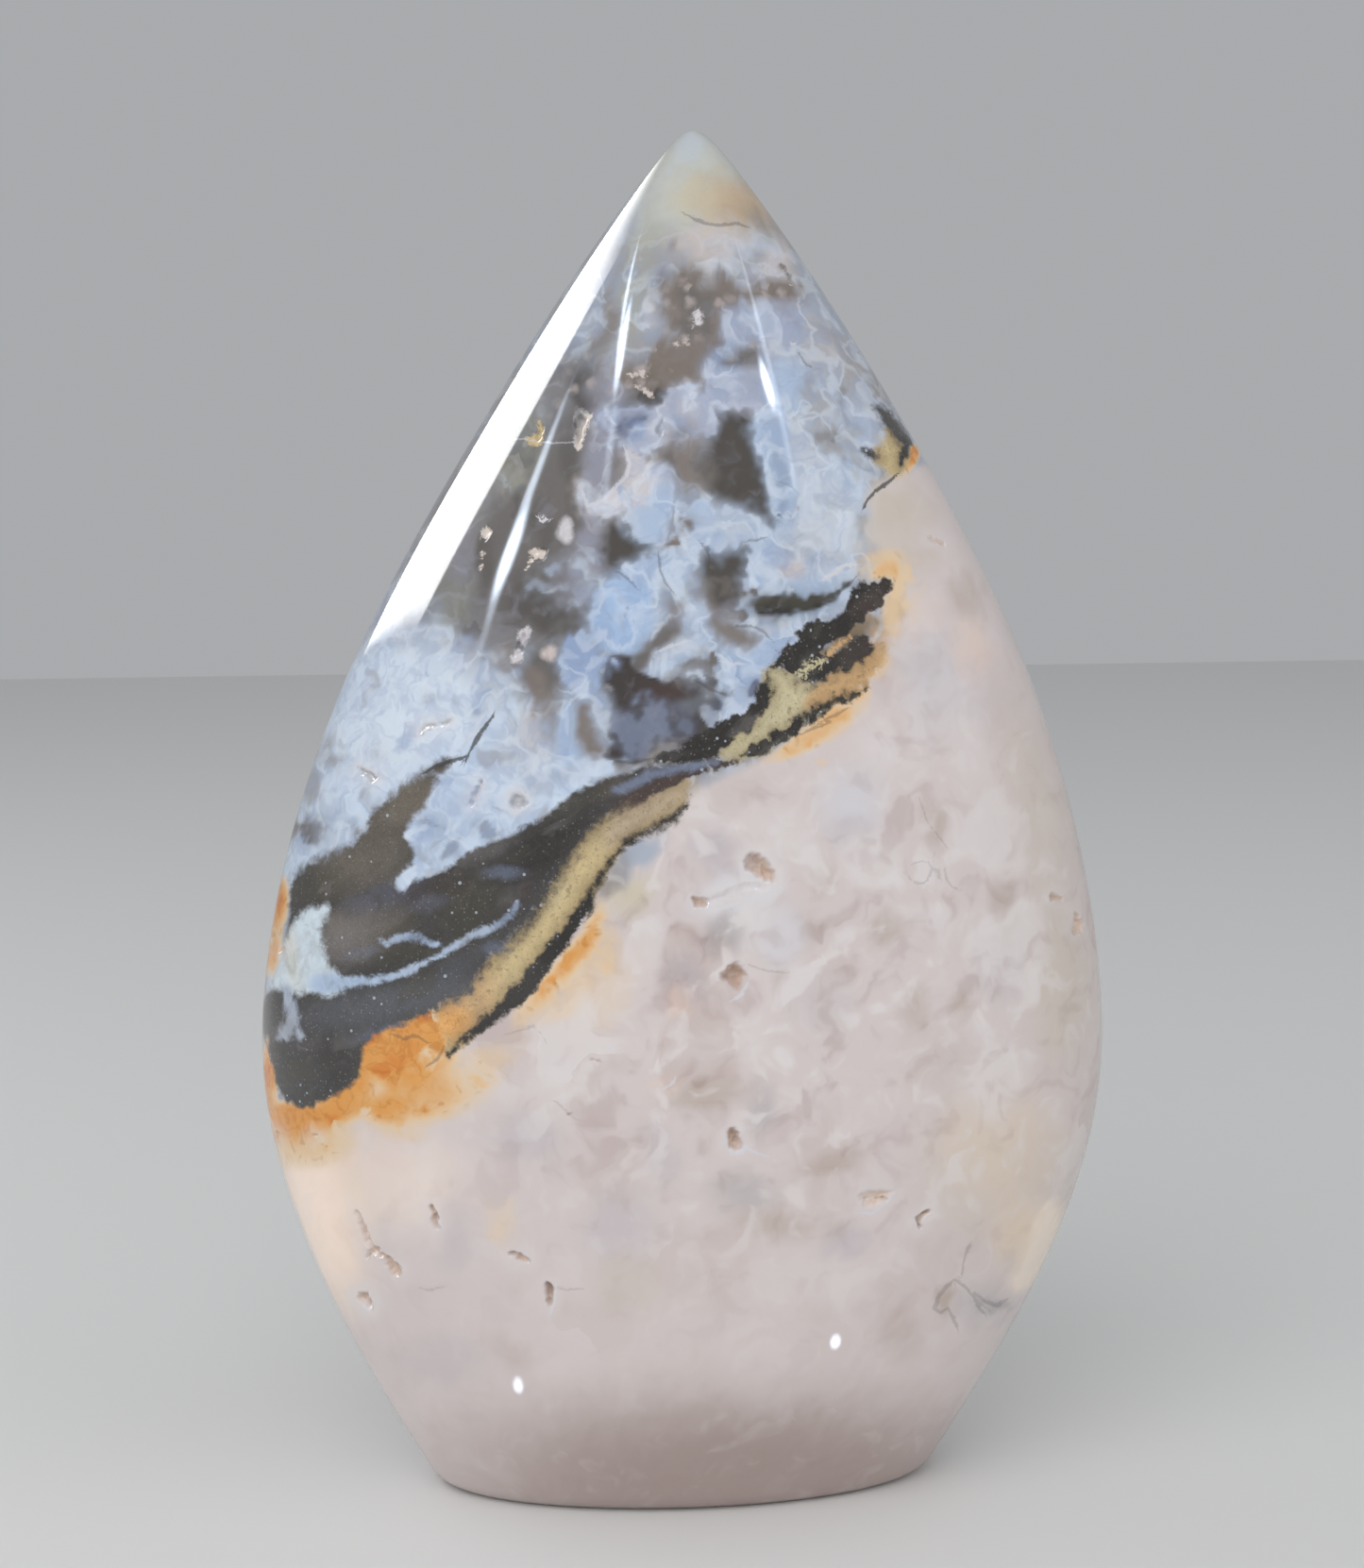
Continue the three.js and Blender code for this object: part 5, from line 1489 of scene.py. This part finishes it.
# The floor and the lights. Two soft lamps light the stone without showing in its polish. The glints are
# mirror images of long lamps, each placed by the pixels of the photograph between which its glint runs.
studio = {
    "floorSize": 4,  # metres
    "floorColour": (0.78, 0.78, 0.77, 1),
    "floorRoughness": 0.6,
    "airColour": (0.88, 0.90, 0.93, 1),
    "airStrength": 0.45,
    "lamps": {  # place and aim in millimetres, size in metres, power in watts
        "soft": {"place": (-500, -1100, 900), "aim": (0, 0, 70), "size": (1.6, 1.6), "power": 14},
        "fill": {"place": (1100, -700, 500), "aim": (0, 0, 70), "size": (1.2, 1.2), "power": 4},
    },
    "window": {  # mirrored along the upper left edge, azimuth counted from the front to the left
        "seenFrom": (-25, -8, 118), "azimuth": 114, "height": 32.5, "wide": 54, "low": 12.4, "high": 19.8,
        "lean": 12, "fadeLow": 3.4, "fadeHigh": 12, "fadeSide": 2.5, "power": 37,
    },
    "glintDistance": 1200,
    "glintColour": (0.72, 0.84, 1.0),
    "glints": {  # wide in degrees
        "streakLeft": {"start": (505, 712), "end": (615, 380), "wide": 4.2, "power": 2.9},
        "streakLeftCore": {"start": (527, 636), "end": (556, 534), "wide": 5.6, "power": 2.8},
        "streakMiddle": {"start": (649, 436), "end": (682, 236), "wide": 1.6, "power": 1.6},
        "streakMiddleCore": {"start": (651, 430), "end": (670, 306), "wide": 2.8, "power": 2.6},
        "streakMiddleTail": {"start": (640, 555), "end": (653, 415), "wide": 2.6, "power": 0.3},
        "streakRight": {"start": (850, 560), "end": (771, 226), "wide": 2.8, "power": 0.8},
        "streakRightCore": {"start": (820, 440), "end": (805, 374), "wide": 4.2, "power": 1.8},
        "spotLeft": {"start": (549, 1478), "end": (549, 1456), "wide": 9, "power": 0.0006, "distance": 16},
        "spotRight": {"start": (885, 1431), "end": (885, 1411), "wide": 9, "power": 0.0006, "distance": 16},
    },
}


def addFloor():
    half = studio["floorSize"] / 2
    mesh = bpy.data.meshes.new("floor")
    corners = [(-half, -half, 0), (half, -half, 0), (half, half, 0), (-half, half, 0)]
    mesh.from_pydata(corners, [], [(0, 1, 2, 3)])
    r = Recipe(bpy.data.materials.new("plainFloor"))
    look = {"Base Color": studio["floorColour"], "Roughness": studio["floorRoughness"]}
    mesh.materials.append(r.finish(r.add("ShaderNodeBsdfPrincipled", look)))
    floor = bpy.data.objects.new("floor", mesh)
    bpy.context.collection.objects.link(floor)


def addLamp(name, place, toward, size, power, upright=None):
    # an area lamp at place, which shines towards a point, upright is the way of its long side
    light = bpy.data.lights.new(name, "AREA")
    light.shape = "RECTANGLE"
    light.size, light.size_y = size
    light.energy = power
    back = (Vector(place) - Vector(toward)).normalized()
    long = Vector(upright or (0, 0, 1))
    long = (long - back * long.dot(back)).normalized()
    lamp = bpy.data.objects.new(name, light)
    turned = Matrix([long.cross(back), long, back]).transposed().to_4x4()
    lamp.matrix_world = Matrix.Translation(place) @ turned
    lamp.visible_camera = False
    bpy.context.collection.objects.link(lamp)
    return lamp


def skinLevel(point):
    # below 0 inside the stone
    halfWidth, halfDepth, lean = sectionAt(np.clip(point[2], 0, agateFlame["height"] - 0.1))
    return ((point[0] - lean) / halfWidth) ** 2 + (point[1] / halfDepth) ** 2 - 1


def mirrorRay(across, down):
    # the point of the front face at a pixel of the photograph, and the direction that is mirrored there
    right, up, forward = cameraAxes()
    width, height = photoCamera["photoSize"]
    ray = forward + (right * (across - width / 2) - up * (down - height / 2)) / photoCamera["focalPixels"]
    ray /= np.linalg.norm(ray)
    eye = np.array(photoCamera["place"])
    before, halvings = -30, 30  # a y in front of the stone, and how often the way to it is halved
    outside, inside = (before - eye[1]) / ray[1], -eye[1] / ray[1]
    for _ in range(halvings):
        middle = (outside + inside) / 2
        if skinLevel(eye + ray * middle) > 0:
            outside = middle
        else:
            inside = middle
    point = eye + ray * inside
    steps = np.eye(3) * 0.05
    outward = np.array([float(skinLevel(point + step) - skinLevel(point - step)) for step in steps])
    outward /= np.linalg.norm(outward)
    return point, ray - 2 * (ray @ outward) * outward


def addGlint(name, glint):
    ends, distance = [], glint.get("distance", studio["glintDistance"])
    for pixel in (glint["start"], glint["end"]):
        point, mirrored = mirrorRay(*pixel)
        ends.append(Vector(point + mirrored * distance) * mm)
        seenFrom = Vector(point) * mm
    wide = 2 * distance * mm * math.tan(math.radians(glint["wide"] / 2))
    along = ends[1] - ends[0]
    lamp = addLamp(name, (ends[0] + ends[1]) / 2, seenFrom, (wide, along.length), glint["power"], along)
    lamp.visible_diffuse = False
    lamp.data.color = studio["glintColour"]
    r = Recipe(lamp.data)
    place = r.add("ShaderNodeTexCoord").outputs["Object"]
    scaled = r.vector("MULTIPLY", place, (2 / wide, 2 / along.length, 0))
    away = r.add("ShaderNodeVectorMath", {0: scaled}, operation="LENGTH").outputs["Value"]
    sparkle = r.sum("MULTIPLY_ADD", r.noise(place, 45, detail=3, roughness=0.7), 0.5, 0.9)
    r.finish(r.add("ShaderNodeEmission", {"Strength": r.times(r.step(away, 1, 0.25), sparkle)}), "Light")


def addWindow():
    window, far = studio["window"], studio["glintDistance"] * mm
    azimuth, height = math.radians(window["azimuth"]), math.radians(window["height"])
    seenFrom = Vector(window["seenFrom"]) * mm
    level = math.cos(height)
    toward = Vector((-math.sin(azimuth) * level, -math.cos(azimuth) * level, math.sin(height)))
    edges = ("low", "high", "fadeLow", "fadeHigh", "fadeSide")
    reach = {edge: far * math.tan(math.radians(window[edge])) for edge in edges}
    half = far * math.tan(math.radians(window["wide"] / 2))
    sideways = math.tan(math.radians(window["lean"]))
    upright = Vector((-math.cos(azimuth) * sideways, math.sin(azimuth) * sideways, 1))
    rise = (upright - toward * upright.dot(toward)).normalized() * (reach["high"] - reach["low"]) / 2
    size = (2 * half, reach["high"] + reach["low"])
    place = seenFrom + toward * far + rise
    lamp = addLamp("window", place, place - toward, size, window["power"], upright)
    lamp.visible_diffuse = False
    r, end = Recipe(lamp.data), size[1] / 2
    spot = r.add("ShaderNodeTexCoord").outputs["Object"]
    across, along, _ = r.add("ShaderNodeSeparateXYZ", {0: spot}).outputs
    low = r.step(along, -end, reach["fadeLow"] - end)
    high = r.step(along, end, end - reach["fadeHigh"])
    sides = r.step(r.sum("ABSOLUTE", across), half, half - reach["fadeSide"])
    r.finish(r.add("ShaderNodeEmission", {"Strength": r.times(low, high, sides)}), "Light")


def addLamps():
    for name, lamp in studio["lamps"].items():
        place, aim = Vector(lamp["place"]) * mm, Vector(lamp["aim"]) * mm
        addLamp(name, place, aim, lamp["size"], lamp["power"]).visible_glossy = False
    for name, glint in studio["glints"].items():
        addGlint(name, glint)
    addWindow()


def lightTheAir():
    world = bpy.data.worlds.new("studioAir")
    world.use_nodes = True
    background = world.node_tree.nodes["Background"]
    background.inputs["Color"].default_value = studio["airColour"]
    background.inputs["Strength"].default_value = studio["airStrength"]
    bpy.context.scene.world = world


addFloor()
addLamps()
lightTheAir()
bpy.context.scene.view_settings.view_transform = "Standard"
print("floor and lights in place")
